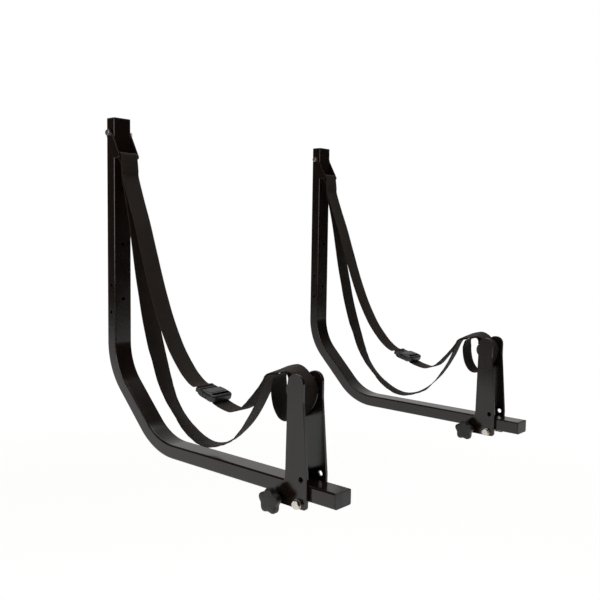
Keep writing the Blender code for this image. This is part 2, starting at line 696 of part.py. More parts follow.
def smooth_route(points):
    """Points along a smooth curve through the route's points, with long spaces between them divided."""
    route = []
    count = len(points)
    for index in range(count - 1):
        before = points[max(index - 1, 0)]
        here, there = points[index], points[index + 1]
        after = points[min(index + 2, count - 1)]
        pieces = max(1, round((there - here).length / WEB_STEP))
        for piece in range(pieces):
            t = piece / pieces
            place = 2 * here + (there - before) * t
            place += (2 * before - 5 * here + 4 * there - after) * t ** 2
            place += (3 * here - before - 3 * there + after) * t ** 3
            route.append(place / 2)
    route.append(points[-1])
    return route


def route_from(rows):
    """A hand-set route as vectors in metres."""
    return [Vector(row) * MM for row in rows]


def along_buckle(rows):
    """Places given along and above the buckle's line, as out and up values."""
    along = Vector((math.cos(BUCKLE_FALL), -math.sin(BUCKLE_FALL)))
    above = Vector((-along.y, along.x))
    start = Vector((-BUCKLE_START.y, BUCKLE_START.z))
    return [start + along * first + above * second for first, second in rows]


def threaded_tongue():
    """The route over the tongue's first bar, down its slot and back under the buckle as a loose tail."""
    bar = (TONGUE_THICKNESS + WEB_THICKNESS) / 2
    under = (SOCKET_THICKNESS + WEB_THICKNESS) / 2
    slot = TONGUE_BAR + WEB_SLOT / 2
    end = TONGUE_BASE + GAP + SOCKET_LENGTH
    rows = [
        (-10 * MM, bar - 0.9 * MM), (0, bar + 0.6 * MM), (slot - 0.85 * MM, bar + 0.2 * MM),
        (slot + 0.25 * MM, 0), (slot + 0.85 * MM, 0.3 * MM - bar), (slot + 4.85 * MM, -under - 1.2 * MM),
    ]
    for share, drop in ((0.35, 2.0), (0.62, 2.5), (0.86, 3.5), (1.15, 4.9)):
        rows.append((end * share, -under - drop * MM))
    return along_buckle(rows)


def threaded_socket():
    """The route from the socket's slot, under its bar and away."""
    under = SOCKET_THICKNESS / 2
    end = TONGUE_BASE + GAP + SOCKET_LENGTH
    slot = end - WEB_BAR - WEB_SLOT
    rows = (
        (slot - 0.3 * MM, 1 * MM), (slot + 0.7 * MM, 1.5 * MM - under),
        (slot + 4.2 * MM, -under - 1.6 * MM), (end + 0.7 * MM, -under - 1.9 * MM),
        (end + 7.7 * MM, -under - 2.5 * MM),
    )
    return along_buckle(rows)


def webbing(name, points):
    """A flat strap across the rack along a route of out and up values."""
    stations = []
    count = len(points)
    for index, point in enumerate(points):
        before, after = points[max(index - 1, 0)], points[min(index + 1, count - 1)]
        stations.append((point, (after - before).normalized()))
    work = bmesh.new()
    half_width, half_thickness = WEB_WIDTH / 2, WEB_THICKNESS / 2
    section = [(a * half_width, b * half_thickness) for a, b in ((1, 1), (-1, 1), (-1, -1), (1, -1))]
    rings = swept_rings(work, section, stations)
    skin(work, rings)
    work.faces.new(rings[0])
    work.faces.new(rings[-1])
    return object_from(work, name, "webbing")


def hanger_loop():
    """The route of the webbing over the hanger's bar, from the outer run up and back down behind it."""
    centre = Vector((-HANGER_BAR_AXIS.y, HANGER_BAR_AXIS.z))
    radius = HANGER_BAR / 2 + 1.5 * GAP + WEB_THICKNESS / 2
    behind = WEB_THICKNESS + GAP
    top = Vector(FRONT_TOP_ROUTE[-1]) * MM
    lean = Vector((-0.11, 1.0)).normalized()
    square = Vector((-lean.y, lean.x))
    route = [top + lean * 12 * MM, top + lean * 24 * MM]
    for step in range(9):
        angle = math.radians(10 + 206 * step / 8)
        route.append(centre + Vector((math.cos(angle), math.sin(angle))) * radius)
    route += [top + lean * reach * MM + square * behind for reach in (26, 13, 0)]
    return route


def shortened(points, at_start, at_end):
    """The route with its ends drawn back by half the gap that meeting straps keep."""
    points = list(points)
    if at_start:
        points[0] = points[0] + (points[1] - points[0]).normalized() * GAP
    if at_end:
        points[-1] = points[-1] + (points[-2] - points[-1]).normalized() * GAP
    return points


def make_straps(side):
    """The webbing of one rack, cut where one moving piece hands it to the next."""
    front = smooth_route(route_from(FRONT_TOP_ROUTE)) + hanger_loop()
    sling_top = smooth_route(route_from(SLING_TOP_ROUTE))
    tongue_end = smooth_route(route_from(TONGUE_END_ROUTE) + threaded_tongue())
    pin_end = smooth_route(threaded_socket() + route_from(BUCKLE_END_ROUTE))
    return [
        webbing(side + "_strap_front_top", shortened(front, True, False)),
        webbing(side + "_strap_front_middle", smooth_route(route_from(FRONT_MIDDLE_ROUTE))),
        webbing(side + "_strap_tongue_end", shortened(tongue_end, True, False)),
        webbing(side + "_strap_sling_top", shortened(sling_top, True, False)),
        webbing(side + "_strap_sling", shortened(smooth_route(route_from(SLING_ROUTE)), True, False)),
        webbing(side + "_strap_pin_end", pin_end),
    ]


def empty_at(name, place):
    """An empty on a joint's axis, which carries the pieces that move about it."""
    marker = bpy.data.objects.new(name, None)
    marker.location = place
    marker.empty_display_size = 20 * MM
    bpy.context.scene.collection.objects.link(marker)
    return marker


def carry(parent, pieces):
    """Parents pieces to an empty without moving them."""
    for piece in pieces:
        piece.parent = parent
        piece.matrix_parent_inverse = Matrix.Translation(-parent.location)


def make_rack(side, across):
    """One complete rack, built on the middle plane and then moved sideways."""
    before = set(bpy.data.objects)
    make_tube(side)
    make_caps(side)
    make_hanger_fasteners(side)
    hanger = make_hanger(side)
    upright = [*make_plates(side), *make_pins(side), *make_guide_bolt(side), make_socket(side)]
    roller = make_roller(side)
    knob, stud, washer, nut = make_clamp(side)
    upright.append(nut)
    tongue = make_tongue(side)
    front_top, _middle, tongue_end, sling_top, _sling, pin_end = make_straps(side)
    made = [item for item in bpy.data.objects if item not in before]
    for item in made:
        item.location.x += across
    offset = Vector((across, 0, 0))
    bpy.context.view_layer.update()
    rest = Vector((0, -SADDLE_PIN_OUT, TUBE_DEPTH))
    clamp_axis = Vector((0, -CLAMP_OUT, -CLAMP_DROP))
    carry(empty_at(side + "_hanger_pivot", HANGER_AXIS + offset), [hanger, front_top, sling_top])
    carry(empty_at(side + "_upright_slide", rest + offset), upright + [pin_end])
    carry(empty_at(side + "_roller_centre", ROLLER_AXIS + offset), roller)
    carry(empty_at(side + "_clamp_axis", clamp_axis + offset), [knob, stud, washer])
    carry(empty_at(side + "_buckle_line", BUCKLE_START + offset), [tongue, tongue_end])


def main():
    """Builds both racks."""
    clear_scene()
    make_rack("left", -RACK_SPACING / 2)
    make_rack("right", RACK_SPACING / 2)


main()
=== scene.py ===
"""A pair of kayak wall racks: bent steel arms, webbing slings, buckles and clamped uprights.

Each rack is modelled once on the middle plane, x = 0, and then copied to the left and to the right.
Frame: metres, +Z up, the wall at y = 0, the arms reaching out along -Y.
"""

import logging
import math
from collections.abc import Callable, Iterable, Sequence
from dataclasses import dataclass, field
from enum import Enum

import bmesh
import bpy
from mathutils import Matrix, Vector

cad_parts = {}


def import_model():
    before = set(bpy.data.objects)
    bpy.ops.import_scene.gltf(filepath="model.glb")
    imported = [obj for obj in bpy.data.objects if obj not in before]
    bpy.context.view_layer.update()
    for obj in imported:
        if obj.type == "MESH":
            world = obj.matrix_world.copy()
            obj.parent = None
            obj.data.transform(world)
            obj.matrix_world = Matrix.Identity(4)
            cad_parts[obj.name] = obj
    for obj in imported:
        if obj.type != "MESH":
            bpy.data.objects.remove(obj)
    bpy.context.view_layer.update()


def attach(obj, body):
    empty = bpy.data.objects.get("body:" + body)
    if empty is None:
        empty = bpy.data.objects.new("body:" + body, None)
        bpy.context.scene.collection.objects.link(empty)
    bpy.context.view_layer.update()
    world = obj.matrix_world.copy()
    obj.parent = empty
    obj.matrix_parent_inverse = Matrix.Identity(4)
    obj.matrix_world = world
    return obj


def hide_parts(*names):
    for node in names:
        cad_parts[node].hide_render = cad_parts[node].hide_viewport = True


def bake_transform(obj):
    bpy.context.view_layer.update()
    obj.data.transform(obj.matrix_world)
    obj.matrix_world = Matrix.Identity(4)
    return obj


MM = 0.001
LOG = logging.getLogger("rack")
Object = bpy.types.Object
Socket = bpy.types.NodeSocket


class Axis(Enum):
    """The world's axes, each with its direction and the turn that lays a cylinder along it."""

    X = ((1.0, 0.0, 0.0), (0.0, math.pi / 2, 0.0))
    Y = ((0.0, 1.0, 0.0), (-math.pi / 2, 0.0, 0.0))
    Z = ((0.0, 0.0, 1.0), (0.0, 0.0, 0.0))

    @property
    def vector(self) -> Vector:
        """The axis's direction."""
        return Vector(self.value[0])

    @property
    def turn(self) -> tuple[float, float, float]:
        """The rotation that lays +Z along the axis."""
        return self.value[1]


class Pick(Enum):
    """What a selection is made of."""

    CORNERS = "VERT"
    EDGES = "EDGE"
    FACES = "FACE"


class Side(Enum):
    """The two racks, each with its sign along X."""

    LEFT = ("left", -1)
    RIGHT = ("right", 1)

    @property
    def word(self) -> str:
        """The rack's name."""
        return self.value[0]

    @property
    def sign(self) -> int:
        """Which way the rack stands from the middle."""
        return self.value[1]


class Editing:
    """Edit mode on one piece, entered by `with` and left at its end."""

    def __init__(self, piece: Object, pick: Pick = Pick.FACES) -> None:
        """Keeps the piece and what will be selected on it.

        Args:
            piece: the piece to work on.
            pick: corners, edges or faces.
        """
        self.piece = piece
        self.pick = pick

    def __enter__(self) -> "Editing":
        """Opens the piece with nothing selected."""
        Bench.take(self.piece)
        bpy.ops.object.mode_set(mode="EDIT")
        bpy.ops.mesh.select_mode(type=self.pick.value)
        bpy.ops.mesh.select_all(action="DESELECT")
        return self

    def __exit__(self, *_problem: object) -> None:
        """Closes the piece."""
        bpy.ops.object.mode_set(mode="OBJECT")

    def everything(self) -> None:
        """Selects the whole piece."""
        bpy.ops.mesh.select_all(action="SELECT")

    def faces(self, wanted: Callable[[Vector, Vector], bool]) -> int:
        """Selects the faces that a test of their middle and normal accepts.

        Args:
            wanted: the test.

        Returns:
            How many faces were selected.
        """
        bpy.ops.mesh.select_all(action="DESELECT")
        work = bmesh.from_edit_mesh(self.piece.data)
        found = [face for face in work.faces if wanted(face.calc_center_median(), face.normal)]
        for face in found:
            face.select_set(True)
        bmesh.update_edit_mesh(self.piece.data)
        return len(found)

    def edges(self, wanted: Callable[[Vector, Vector], bool]) -> int:
        """Selects the edges that a test of their two ends accepts.

        Args:
            wanted: the test.

        Returns:
            How many edges were selected.
        """
        bpy.ops.mesh.select_all(action="DESELECT")
        work = bmesh.from_edit_mesh(self.piece.data)
        found = [edge for edge in work.edges if wanted(edge.verts[0].co, edge.verts[1].co)]
        for edge in found:
            edge.select_set(True)
        bmesh.update_edit_mesh(self.piece.data)
        return len(found)

    def corners(self, wanted: Callable[[Vector], bool]) -> int:
        """Selects the corners that a test of their place accepts.

        Args:
            wanted: the test.

        Returns:
            How many corners were selected.
        """
        bpy.ops.mesh.select_all(action="DESELECT")
        work = bmesh.from_edit_mesh(self.piece.data)
        found = [corner for corner in work.verts if wanted(corner.co)]
        for corner in found:
            corner.select_set(True)
        work.select_flush(True)
        bmesh.update_edit_mesh(self.piece.data)
        return len(found)

    def extrude(self, by: Vector) -> None:
        """Draws the selected faces out."""
        bpy.ops.mesh.extrude_region_move(TRANSFORM_OT_translate={"value": tuple(by)})

    def extrude_edges(self, by: Vector) -> None:
        """Draws the selected edges out into new faces."""
        bpy.ops.mesh.extrude_edges_move(TRANSFORM_OT_translate={"value": tuple(by)})

    def move(self, by: Vector) -> None:
        """Moves what is selected."""
        bpy.ops.transform.translate(value=tuple(by))

    def resize(self, by: Vector, centre: Vector) -> None:
        """Scales what is selected about a place."""
        bpy.ops.transform.resize(value=tuple(by), center_override=tuple(centre))

    def spin(self, angle: float, centre: Vector, axis: Axis, steps: int) -> None:
        """Draws the selected edges round an arc.

        Args:
            angle: how far round, in radians.
            centre: a place on the arc's axis.
            axis: the arc's axis.
            steps: how many straight pieces make the arc.
        """
        bpy.ops.mesh.spin(steps=steps, angle=angle, center=tuple(centre), axis=tuple(axis.vector), dupli=False)

    def inset(self, width: float, depth: float = 0.0) -> None:
        """Draws the selected faces in from their borders, and down by a depth."""
        bpy.ops.mesh.inset(thickness=width, depth=-depth)

    def bevel(self, width: float, segments: int) -> None:
        """Rounds the selected edges."""
        bpy.ops.mesh.bevel(offset=width, segments=segments, affect="EDGES", clamp_overlap=True)

    def round_corners(self, width: float, segments: int) -> None:
        """Rounds the selected corners of a flat face."""
        bpy.ops.mesh.bevel(offset=width, segments=segments, affect="VERTICES", clamp_overlap=True)

    def face_out(self) -> None:
        """Turns every face outwards."""
        bpy.ops.mesh.select_all(action="SELECT")
        bpy.ops.mesh.normals_make_consistent(inside=False)


class Bench:
    """The bench's tools, each used on one piece at a time."""

    @staticmethod
    def clear() -> None:
        """Lets go of every piece."""
        bpy.ops.object.select_all(action="DESELECT")

    @staticmethod
    def take(piece: Object) -> None:
        """Picks up one piece alone."""
        Bench.clear()
        piece.select_set(True)
        bpy.context.view_layer.objects.active = piece

    @staticmethod
    def settle(name: str) -> Object:
        """Names the newest piece and puts its place and size into its mesh.

        Args:
            name: the piece's name.

        Returns:
            The piece.
        """
        piece = bpy.context.object
        piece.name = name
        piece.data.name = name
        bpy.ops.object.transform_apply(location=True, rotation=True, scale=True)
        return piece

    @staticmethod
    def place(piece: Object, where: Matrix) -> Object:
        """Turns and moves a piece, and puts that into its mesh.

        Args:
            piece: the piece.
            where: its new place.

        Returns:
            The piece.
        """
        Bench.take(piece)
        piece.matrix_world = where
        bpy.ops.object.transform_apply(location=True, rotation=True, scale=True)
        return piece

    @staticmethod
    def block(name: str, low: Sequence[float], high: Sequence[float]) -> Object:
        """A block between two corners.

        Args:
            name: its name.
            low: the lowest corner.
            high: the highest corner.

        Returns:
            The block.
        """
        low, high = Vector(low), Vector(high)
        Bench.clear()
        bpy.ops.mesh.primitive_cube_add(size=1.0, location=(low + high) / 2, scale=high - low)
        return Bench.settle(name)

    @staticmethod
    def rod(name: str, middle: Sequence[float], axis: Axis, radius: float, length: float, sides: int = 32) -> Object:
        """A round rod about its middle.

        Args:
            name: its name.
            middle: the place of its middle.
            axis: the axis it lies along.
            radius: its radius.
            length: its length.
            sides: how many flats make it round.

        Returns:
            The rod.
        """
        Bench.clear()
        bpy.ops.mesh.primitive_cylinder_add(
            vertices=sides, radius=radius, depth=length, location=tuple(middle), rotation=axis.turn
        )
        return Bench.settle(name)

    @staticmethod
    def turned(
        name: str, start: Vector, axis: Axis, rows: Sequence[tuple[float, float]], sides: int = 48,
        outline: Callable[[float], float] | None = None,
    ) -> Object:
        """A solid turned on a lathe: a disc drawn out row by row along its axis.

        Args:
            name: its name.
            start: the place on the axis that the rows are counted from.
            axis: the lathe's axis.
            rows: pairs of place along the axis and radius.
            sides: how many flats make it round.
            outline: for a disc that isn't round, the share of the radius at each angle.

        Returns:
            The turned piece.
        """
        Bench.clear()
        along, radius = rows[0]
        bpy.ops.mesh.primitive_circle_add(vertices=sides, radius=radius, fill_type="NGON")
        if outline:
            for vertex in bpy.context.object.data.vertices:
                vertex.co *= outline(math.atan2(vertex.co.y, -vertex.co.x))
        bpy.context.object.location = start + axis.vector * along
        bpy.context.object.rotation_euler = axis.turn
        piece = Bench.settle(name)
        with Editing(piece) as edit:
            edit.everything()
            for (here, size), (there, following) in zip(rows, rows[1:]):
                edit.extrude(axis.vector * (there - here))
                share = following / size
                edit.resize(Vector((share, share, share)), start + axis.vector * there)
            edit.face_out()
        return piece

    @staticmethod
    def outline(name: str, corners: Sequence[tuple[float, float, float]], segments: int = 6) -> Object:
        """A flat sheet in the plane x = 0 with rounded corners.

        Args:
            name: its name.
            corners: rows of distance out from the wall, height, and the corner's radius.
            segments: how many straight pieces round each corner.

        Returns:
            The sheet, one face.
        """
        Bench.clear()
        bpy.ops.mesh.primitive_circle_add(vertices=len(corners), radius=1.0, fill_type="NGON")
        piece = Bench.settle(name)
        places = [Vector((0.0, -out, up)) for out, up, _ in corners]
        for vertex, corner in zip(piece.data.vertices, places):
            vertex.co = corner
        for index, (_out, _up, radius) in enumerate(corners):
            here = places[index]
            before = (places[index - 1] - here).normalized()
            after = (places[(index + 1) % len(places)] - here).normalized()
            reach = radius / math.tan(before.angle(after) / 2)
            with Editing(piece, Pick.CORNERS) as edit:
                edit.corners(lambda place, here=here: (place - here).length < 1e-6)
                edit.round_corners(reach, segments)
        return piece

    @staticmethod
    def slab(name: str, corners: Sequence[tuple[float, float, float]], start: float, thickness: float) -> Object:
        """A flat bar cut to an outline, standing in a plane square to X.

        Args:
            name: its name.
            corners: as for an outline.
            start: its lower face's place along X.
            thickness: its thickness along X.

        Returns:
            The slab.
        """
        piece = Bench.outline(name, corners)
        with Editing(piece) as edit:
            edit.everything()
            edit.move(Vector((start, 0, 0)))
            edit.extrude(Vector((thickness, 0, 0)))
            edit.face_out()
        return piece

    @staticmethod
    def modify(piece: Object, kind: str, **settings: object) -> Object:
        """Adds a modifier and applies it.

        Args:
            piece: the piece it works on.
            kind: the modifier's type.
            settings: its settings by name.

        Returns:
            The piece.
        """
        Bench.take(piece)
        change = piece.modifiers.new(kind.lower(), kind)
        for name, value in settings.items():
            setattr(change, name, value)
        bpy.ops.object.modifier_apply(modifier=change.name)
        return piece

    @staticmethod
    def combine(piece: Object, others: Iterable[Object], how: str) -> Object:
        """Cuts a piece by others, unites it with them or keeps what they share, and drops the others.

        Args:
            piece: the piece that stays.
            others: the pieces that are used up.
            how: DIFFERENCE, UNION or INTERSECT.

        Returns:
            The piece.
        """
        for other in others:
            Bench.modify(piece, "BOOLEAN", operation=how, solver="EXACT", object=other)
            bpy.data.objects.remove(other, do_unlink=True)
        return piece

    @staticmethod
    def cut(piece: Object, *cutters: Object) -> Object:
        """Takes the cutters out of a piece."""
        return Bench.combine(piece, cutters, "DIFFERENCE")

    @staticmethod
    def weld(piece: Object, *others: Object) -> Object:
        """Makes one body of a piece and others that reach into it."""
        return Bench.combine(piece, others, "UNION")

    @staticmethod
    def group(piece: Object, *others: Object) -> Object:
        """Puts others into a piece's mesh as they are."""
        Bench.clear()
        for other in (*others, piece):
            other.select_set(True)
        bpy.context.view_layer.objects.active = piece
        bpy.ops.object.join()
        return piece

    @staticmethod
    def ease(piece: Object, width: float, segments: int = 2, over: float = 35.0) -> Object:
        """Rounds every edge that is sharper than an angle in degrees."""
        return Bench.modify(
            piece, "BEVEL", width=width, segments=segments, limit_method="ANGLE", angle_limit=math.radians(over),
            use_clamp_overlap=True, harden_normals=False, miter_outer="MITER_ARC",
        )

    @staticmethod
    def smooth(piece: Object, over: float = 35.0) -> Object:
        """Shades a piece smooth across edges below an angle in degrees, with its flats kept flat."""
        Bench.take(piece)
        bpy.ops.object.shade_smooth_by_angle(angle=math.radians(over), keep_sharp_edges=False)
        return Bench.modify(piece, "WEIGHTED_NORMAL", keep_sharp=True, weight=60)

    @staticmethod
    def copy(piece: Object, name: str, by: Vector) -> Object:
        """Copies a piece with its own mesh and moves the copy.

        Args:
            piece: what is copied.
            name: the copy's name.
            by: how far the copy is moved.

        Returns:
            The copy.
        """
        Bench.take(piece)
        bpy.ops.object.duplicate(linked=False)
        twin = bpy.context.object
        twin.location = by
        return Bench.settle(name) if twin == bpy.context.object else twin


class Graph:
    """The nodes of one material, added by short calls."""

    def __init__(self, name: str) -> None:
        """Starts a material with its shader.

        Args:
            name: the material's name.
        """
        self.material = bpy.data.materials.new(name)
        self.material.use_nodes = True
        self.tree = self.material.node_tree
        self.shader = self.tree.nodes["Principled BSDF"]

    def set(self, **values: object) -> None:
        """Sets the shader's own sockets by name, with _ for a space."""
        for name, value in values.items():
            self.shader.inputs[name.replace("_", " ")].default_value = value

    def node(self, kind: str, *inputs: object, **settings: object) -> bpy.types.Node:
        """Adds a node.

        Args:
            kind: the node's type, without its prefix.
            inputs: values or sockets for its first inputs, None to leave one alone.
            settings: its own settings.

        Returns:
            The node.
        """
        made = self.tree.nodes.new("ShaderNode" + kind)
        for name, value in settings.items():
            setattr(made, name, value)
        for socket, value in zip(made.inputs, inputs):
            if isinstance(value, Socket):
                self.tree.links.new(value, socket)
            elif value is not None:
                socket.default_value = value
        return made

    def math(self, how: str, *inputs: object) -> Socket:
        """The result of a Math node."""
        return self.node("Math", *inputs, operation=how).outputs[0]

    def noise(self, where: Socket, scale: float, detail: float = 2.0) -> Socket:
        """Soft noise over a set of coordinates."""
        made = self.node("TexNoise", where)
        made.inputs["Scale"].default_value = scale
        made.inputs["Detail"].default_value = detail
        return made.outputs[0]

    def range(self, value: Socket, low: float, high: float, to_low: float, to_high: float) -> Socket:
        """A value moved from one range to another and kept inside it."""
        return self.node("MapRange", value, low, high, to_low, to_high).outputs[0]

    def blend(self, share: Socket, first: tuple[float, ...], second: tuple[float, ...]) -> Socket:
        """A colour between two, by a share."""
        made = self.node("Mix", data_type="RGBA")
        self.tree.links.new(share, made.inputs["Factor"])
        for name, colour in (("A", first), ("B", second)):
            socket = [item for item in made.inputs if item.name == name and item.type == "RGBA"][0]
            socket.default_value = (*colour, 1.0)
        return [item for item in made.outputs if item.type == "RGBA"][0]

    def bump(self, height: Socket, strength: float, distance: float, after: Socket | None = None) -> Socket:
        """A bump from a height.

        Args:
            height: the height's socket.
            strength: the bump's strength.
            distance: the height of a value of 1, in metres.
            after: an earlier bump that this one adds to.

        Returns:
            The bumped normal.
        """
        made = self.node("Bump")
        made.inputs["Strength"].default_value = strength
        made.inputs["Distance"].default_value = distance
        self.tree.links.new(height, made.inputs["Height"])
        if after:
            self.tree.links.new(after, made.inputs["Normal"])
        return made.outputs[0]

    def feed(self, name: str, value: Socket) -> None:
        """Links a value to one of the shader's sockets."""
        self.tree.links.new(value, self.shader.inputs[name])

    def place(self) -> Socket:
        """The piece's own coordinates, in metres."""
        return self.node("TexCoord").outputs["Object"]


@dataclass(frozen=True)
class PowderCoat:
    """Gloss black powder coat with a faint orange peel."""

    colour: tuple[float, float, float] = (0.0150, 0.0082, 0.0056)
    dust: tuple[float, float, float] = (0.0190, 0.0112, 0.0080)
    gloss: tuple[float, float] = (0.15, 0.22)
    peel_scale: float = 520.0
    peel_depth: float = 0.00012

    def material(self) -> bpy.types.Material:
        """The finish as a material."""
        graph = Graph("gloss_black_powder_coat")
        where = graph.place()
        cloud = graph.noise(where, 9.0, 3.0)
        graph.feed("Base Color", graph.blend(graph.range(cloud, 0.35, 0.7, 0.0, 1.0), self.colour, self.dust))
        graph.feed("Roughness", graph.range(graph.noise(where, 24.0, 4.0), 0.3, 0.7, *self.gloss))
        peel = graph.noise(where, self.peel_scale, 2.0)
        graph.feed("Normal", graph.bump(peel, 0.28, self.peel_depth))
        graph.set(IOR=1.5)
        return graph.material


@dataclass(frozen=True)
class ZincPlate:
    """Bright zinc on steel, with fine marks of the thread roller or the press."""

    colour: tuple[float, float, float] = (0.62, 0.58, 0.52)
    bright: tuple[float, float, float] = (0.72, 0.68, 0.62)
    pitch: float = 0.0

    def material(self) -> bpy.types.Material:
        """The finish as a material."""
        graph = Graph("zinc_plate_threaded" if self.pitch else "zinc_plate")
        where = graph.place()
        graph.feed("Base Color", graph.blend(graph.noise(where, 260.0, 3.0), self.colour, self.bright))
        graph.feed("Roughness", graph.range(graph.noise(where, 500.0, 2.0), 0.3, 0.7, 0.24, 0.42))
        normal = graph.bump(graph.noise(where, 1400.0, 2.0), 0.2, 0.00008)
        if self.pitch:
            along = graph.node("SeparateXYZ", where).outputs[0]
            wave = graph.math("SINE", graph.math("MULTIPLY", along, 2 * math.pi / self.pitch))
            normal = graph.bump(wave, 1.0, self.pitch * 0.16, normal)
        graph.feed("Normal", normal)
        graph.set(Metallic=1.0)
        return graph.material


@dataclass(frozen=True)
class MouldedPlastic:
    """Black moulded plastic with the mould's fine spark grain."""

    name: str
    colour: tuple[float, float, float] = (0.022, 0.022, 0.0235)
    roughness: tuple[float, float] = (0.34, 0.46)
    grain_scale: float = 2200.0
    grain_depth: float = 0.00006

    def material(self) -> bpy.types.Material:
        """The finish as a material."""
        graph = Graph(self.name)
        where = graph.place()
        soft = graph.noise(where, 60.0, 3.0)
        lighter = tuple(value * 1.35 for value in self.colour)
        graph.feed("Base Color", graph.blend(soft, self.colour, lighter))
        graph.feed("Roughness", graph.range(soft, 0.3, 0.7, *self.roughness))
        graph.feed("Normal", graph.bump(graph.noise(where, self.grain_scale, 1.0), 0.35, self.grain_depth))
        graph.set(IOR=1.49)
        return graph.material


@dataclass(frozen=True)
class BlackNylon:
    """Turned black nylon."""

    colour: tuple[float, float, float] = (0.0165, 0.0150, 0.0145)
    roughness: float = 0.38

    def material(self) -> bpy.types.Material:
        """The finish as a material."""
        graph = Graph("black_nylon")
        where = graph.place()
        darker = tuple(value * 0.9 for value in self.colour)
        graph.feed("Base Color", graph.blend(graph.noise(where, 90.0, 3.0), darker, self.colour))
        graph.feed("Normal", graph.bump(graph.noise(where, 1800.0, 1.0), 0.2, 0.00005))
        graph.set(Roughness=self.roughness, IOR=1.53)
        return graph.material


@dataclass(frozen=True)
class WovenWebbing:
    """Black flat webbing: staggered picks across its warp, with painted shade in their hollows and a painted highlight
    band along each edge, where the weave is also tighter.
    """

    # painted shade: the valley colour darkens the weave's hollows and the crown colour lightens its tops, as shade and
    # light would fall on them
    valley_painted_shade: tuple[float, float, float] = (0.0150, 0.0085, 0.0055)
    crown: tuple[float, float, float] = (0.0400, 0.0250, 0.0180)
    # painted highlight: a tighter woven edge, painted in the crown's light colour as a highlight band along each side
    selvedge_painted_highlight: tuple[float, float, float] = (0.040, 0.0255, 0.0180)
    warp: float = 0.00158
    pick: float = 0.00130
    half_width: float = 0.019

    def material(self) -> bpy.types.Material:
        """The finish as a material, on a UV map in metres: across, and along the strap."""
        graph = Graph("woven_webbing")
        parts = graph.node("SeparateXYZ", graph.node("UVMap", uv_map="UVMap").outputs[0])
        across, along = parts.outputs[0], parts.outputs[1]
        column = graph.math("DIVIDE", across, self.warp)
        ridge = graph.math("ABSOLUTE", graph.math("SINE", graph.math("MULTIPLY", column, math.pi)))
        odd = graph.math("FLOORED_MODULO", graph.math("FLOOR", column), 2.0)
        phase = graph.math("ADD", graph.math("MULTIPLY", along, 2 * math.pi / self.pick), graph.math("MULTIPLY", odd, math.pi))
        knuckle = graph.math("MULTIPLY_ADD", graph.math("SINE", phase), 0.5, 0.5)
        height = graph.math("MULTIPLY", ridge, knuckle)
        # mask of the painted highlight band along each edge
        edge = graph.range(graph.math("ABSOLUTE", across), self.half_width - 0.0017, self.half_width - 0.0011, 0.0, 1.0)
        fuzz = graph.noise(graph.place(), 70.0, 3.0)
        share = graph.math("MULTIPLY", height, graph.range(fuzz, 0.3, 0.7, 0.75, 1.15))
        # painted shade: darker in the weave's hollows and lighter on its crowns, by the weave's height
        cloth = graph.blend(share, self.valley_painted_shade, self.crown)
        colour = graph.node("Mix", data_type="RGBA")
        sockets = [item for item in colour.inputs if item.type == "RGBA"]
        graph.tree.links.new(edge, colour.inputs["Factor"])
        graph.tree.links.new(cloth, sockets[0])
        sockets[1].default_value = (*self.selvedge_painted_highlight, 1.0)
        graph.feed("Base Color", [item for item in colour.outputs if item.type == "RGBA"][0])
        graph.feed("Normal", graph.bump(height, 0.7, 0.00028))
        graph.set(Roughness=0.75, Sheen_Weight=0.08, Sheen_Roughness=0.45, Specular_IOR_Level=0.22)
        return graph.material


@dataclass(frozen=True)
class Thread:
    """Bonded black polyester sewing thread."""

    colour: tuple[float, float, float] = (0.022, 0.016, 0.013)

    def material(self) -> bpy.types.Material:
        """The finish as a material."""
        graph = Graph("sewing_thread")
        where = graph.place()
        lighter = tuple(value * 1.8 for value in self.colour)
        twist = graph.node("TexWave", where)
        twist.inputs["Scale"].default_value = 900.0
        graph.feed("Base Color", graph.blend(twist.outputs[1], self.colour, lighter))
        graph.set(Roughness=0.5)
        return graph.material


class Finish(Enum):
    """The finishes, each with the record's slot that it is painted from."""

    STEEL = "powder_coat"
    ZINC = "zinc"
    THREADED = "zinc_thread"
    CAP = "cap_plastic"
    KNOB = "knob_plastic"
    BUCKLE = "buckle_plastic"
    ROLLER = "roller_plastic"
    NYLON = "nylon"
    WEB = "webbing"
    THREAD = "thread"

    @property
    def slot(self) -> str:
        """The record's material slot."""
        known = {
            "zinc_thread": "zinc", "cap_plastic": "black_plastic", "knob_plastic": "black_plastic",
            "buckle_plastic": "black_plastic", "roller_plastic": "black_plastic", "thread": "webbing",
        }
        return known.get(self.value, self.value)


class PaintShelf:
    """Every finish's material, made once."""

    def __init__(self) -> None:
        """Mixes the finishes."""
        self.pots = {
            Finish.STEEL: PowderCoat().material(),
            Finish.ZINC: ZincPlate().material(),
            Finish.THREADED: ZincPlate(pitch=1.25 * MM).material(),
            Finish.CAP: MouldedPlastic("cap_plastic", roughness=(0.40, 0.52)).material(),
            Finish.KNOB: MouldedPlastic("knob_plastic", (0.0175, 0.0160, 0.0155), (0.42, 0.55)).material(),
            Finish.BUCKLE: MouldedPlastic("buckle_plastic", (0.024, 0.0235, 0.0245), (0.30, 0.42)).material(),
            Finish.ROLLER: MouldedPlastic("roller_plastic", (0.018, 0.018, 0.019), (0.36, 0.46)).material(),
            Finish.NYLON: BlackNylon().material(),
            Finish.WEB: WovenWebbing().material(),
            Finish.THREAD: Thread().material(),
        }

    def dress(self, piece: Object, finish: Finish) -> Object:
        """Paints a whole piece.

        Args:
            piece: the piece.
            finish: its finish.

        Returns:
            The piece.
        """
        piece.data.materials.clear()
        piece.data.materials.append(self.pots[finish])
        return piece


@dataclass(frozen=True)
class Bend:
    """The two bodies a soft piece passes between: the first up to one place, the second from another."""

    first: str
    second: str
    start: Vector
    end: Vector


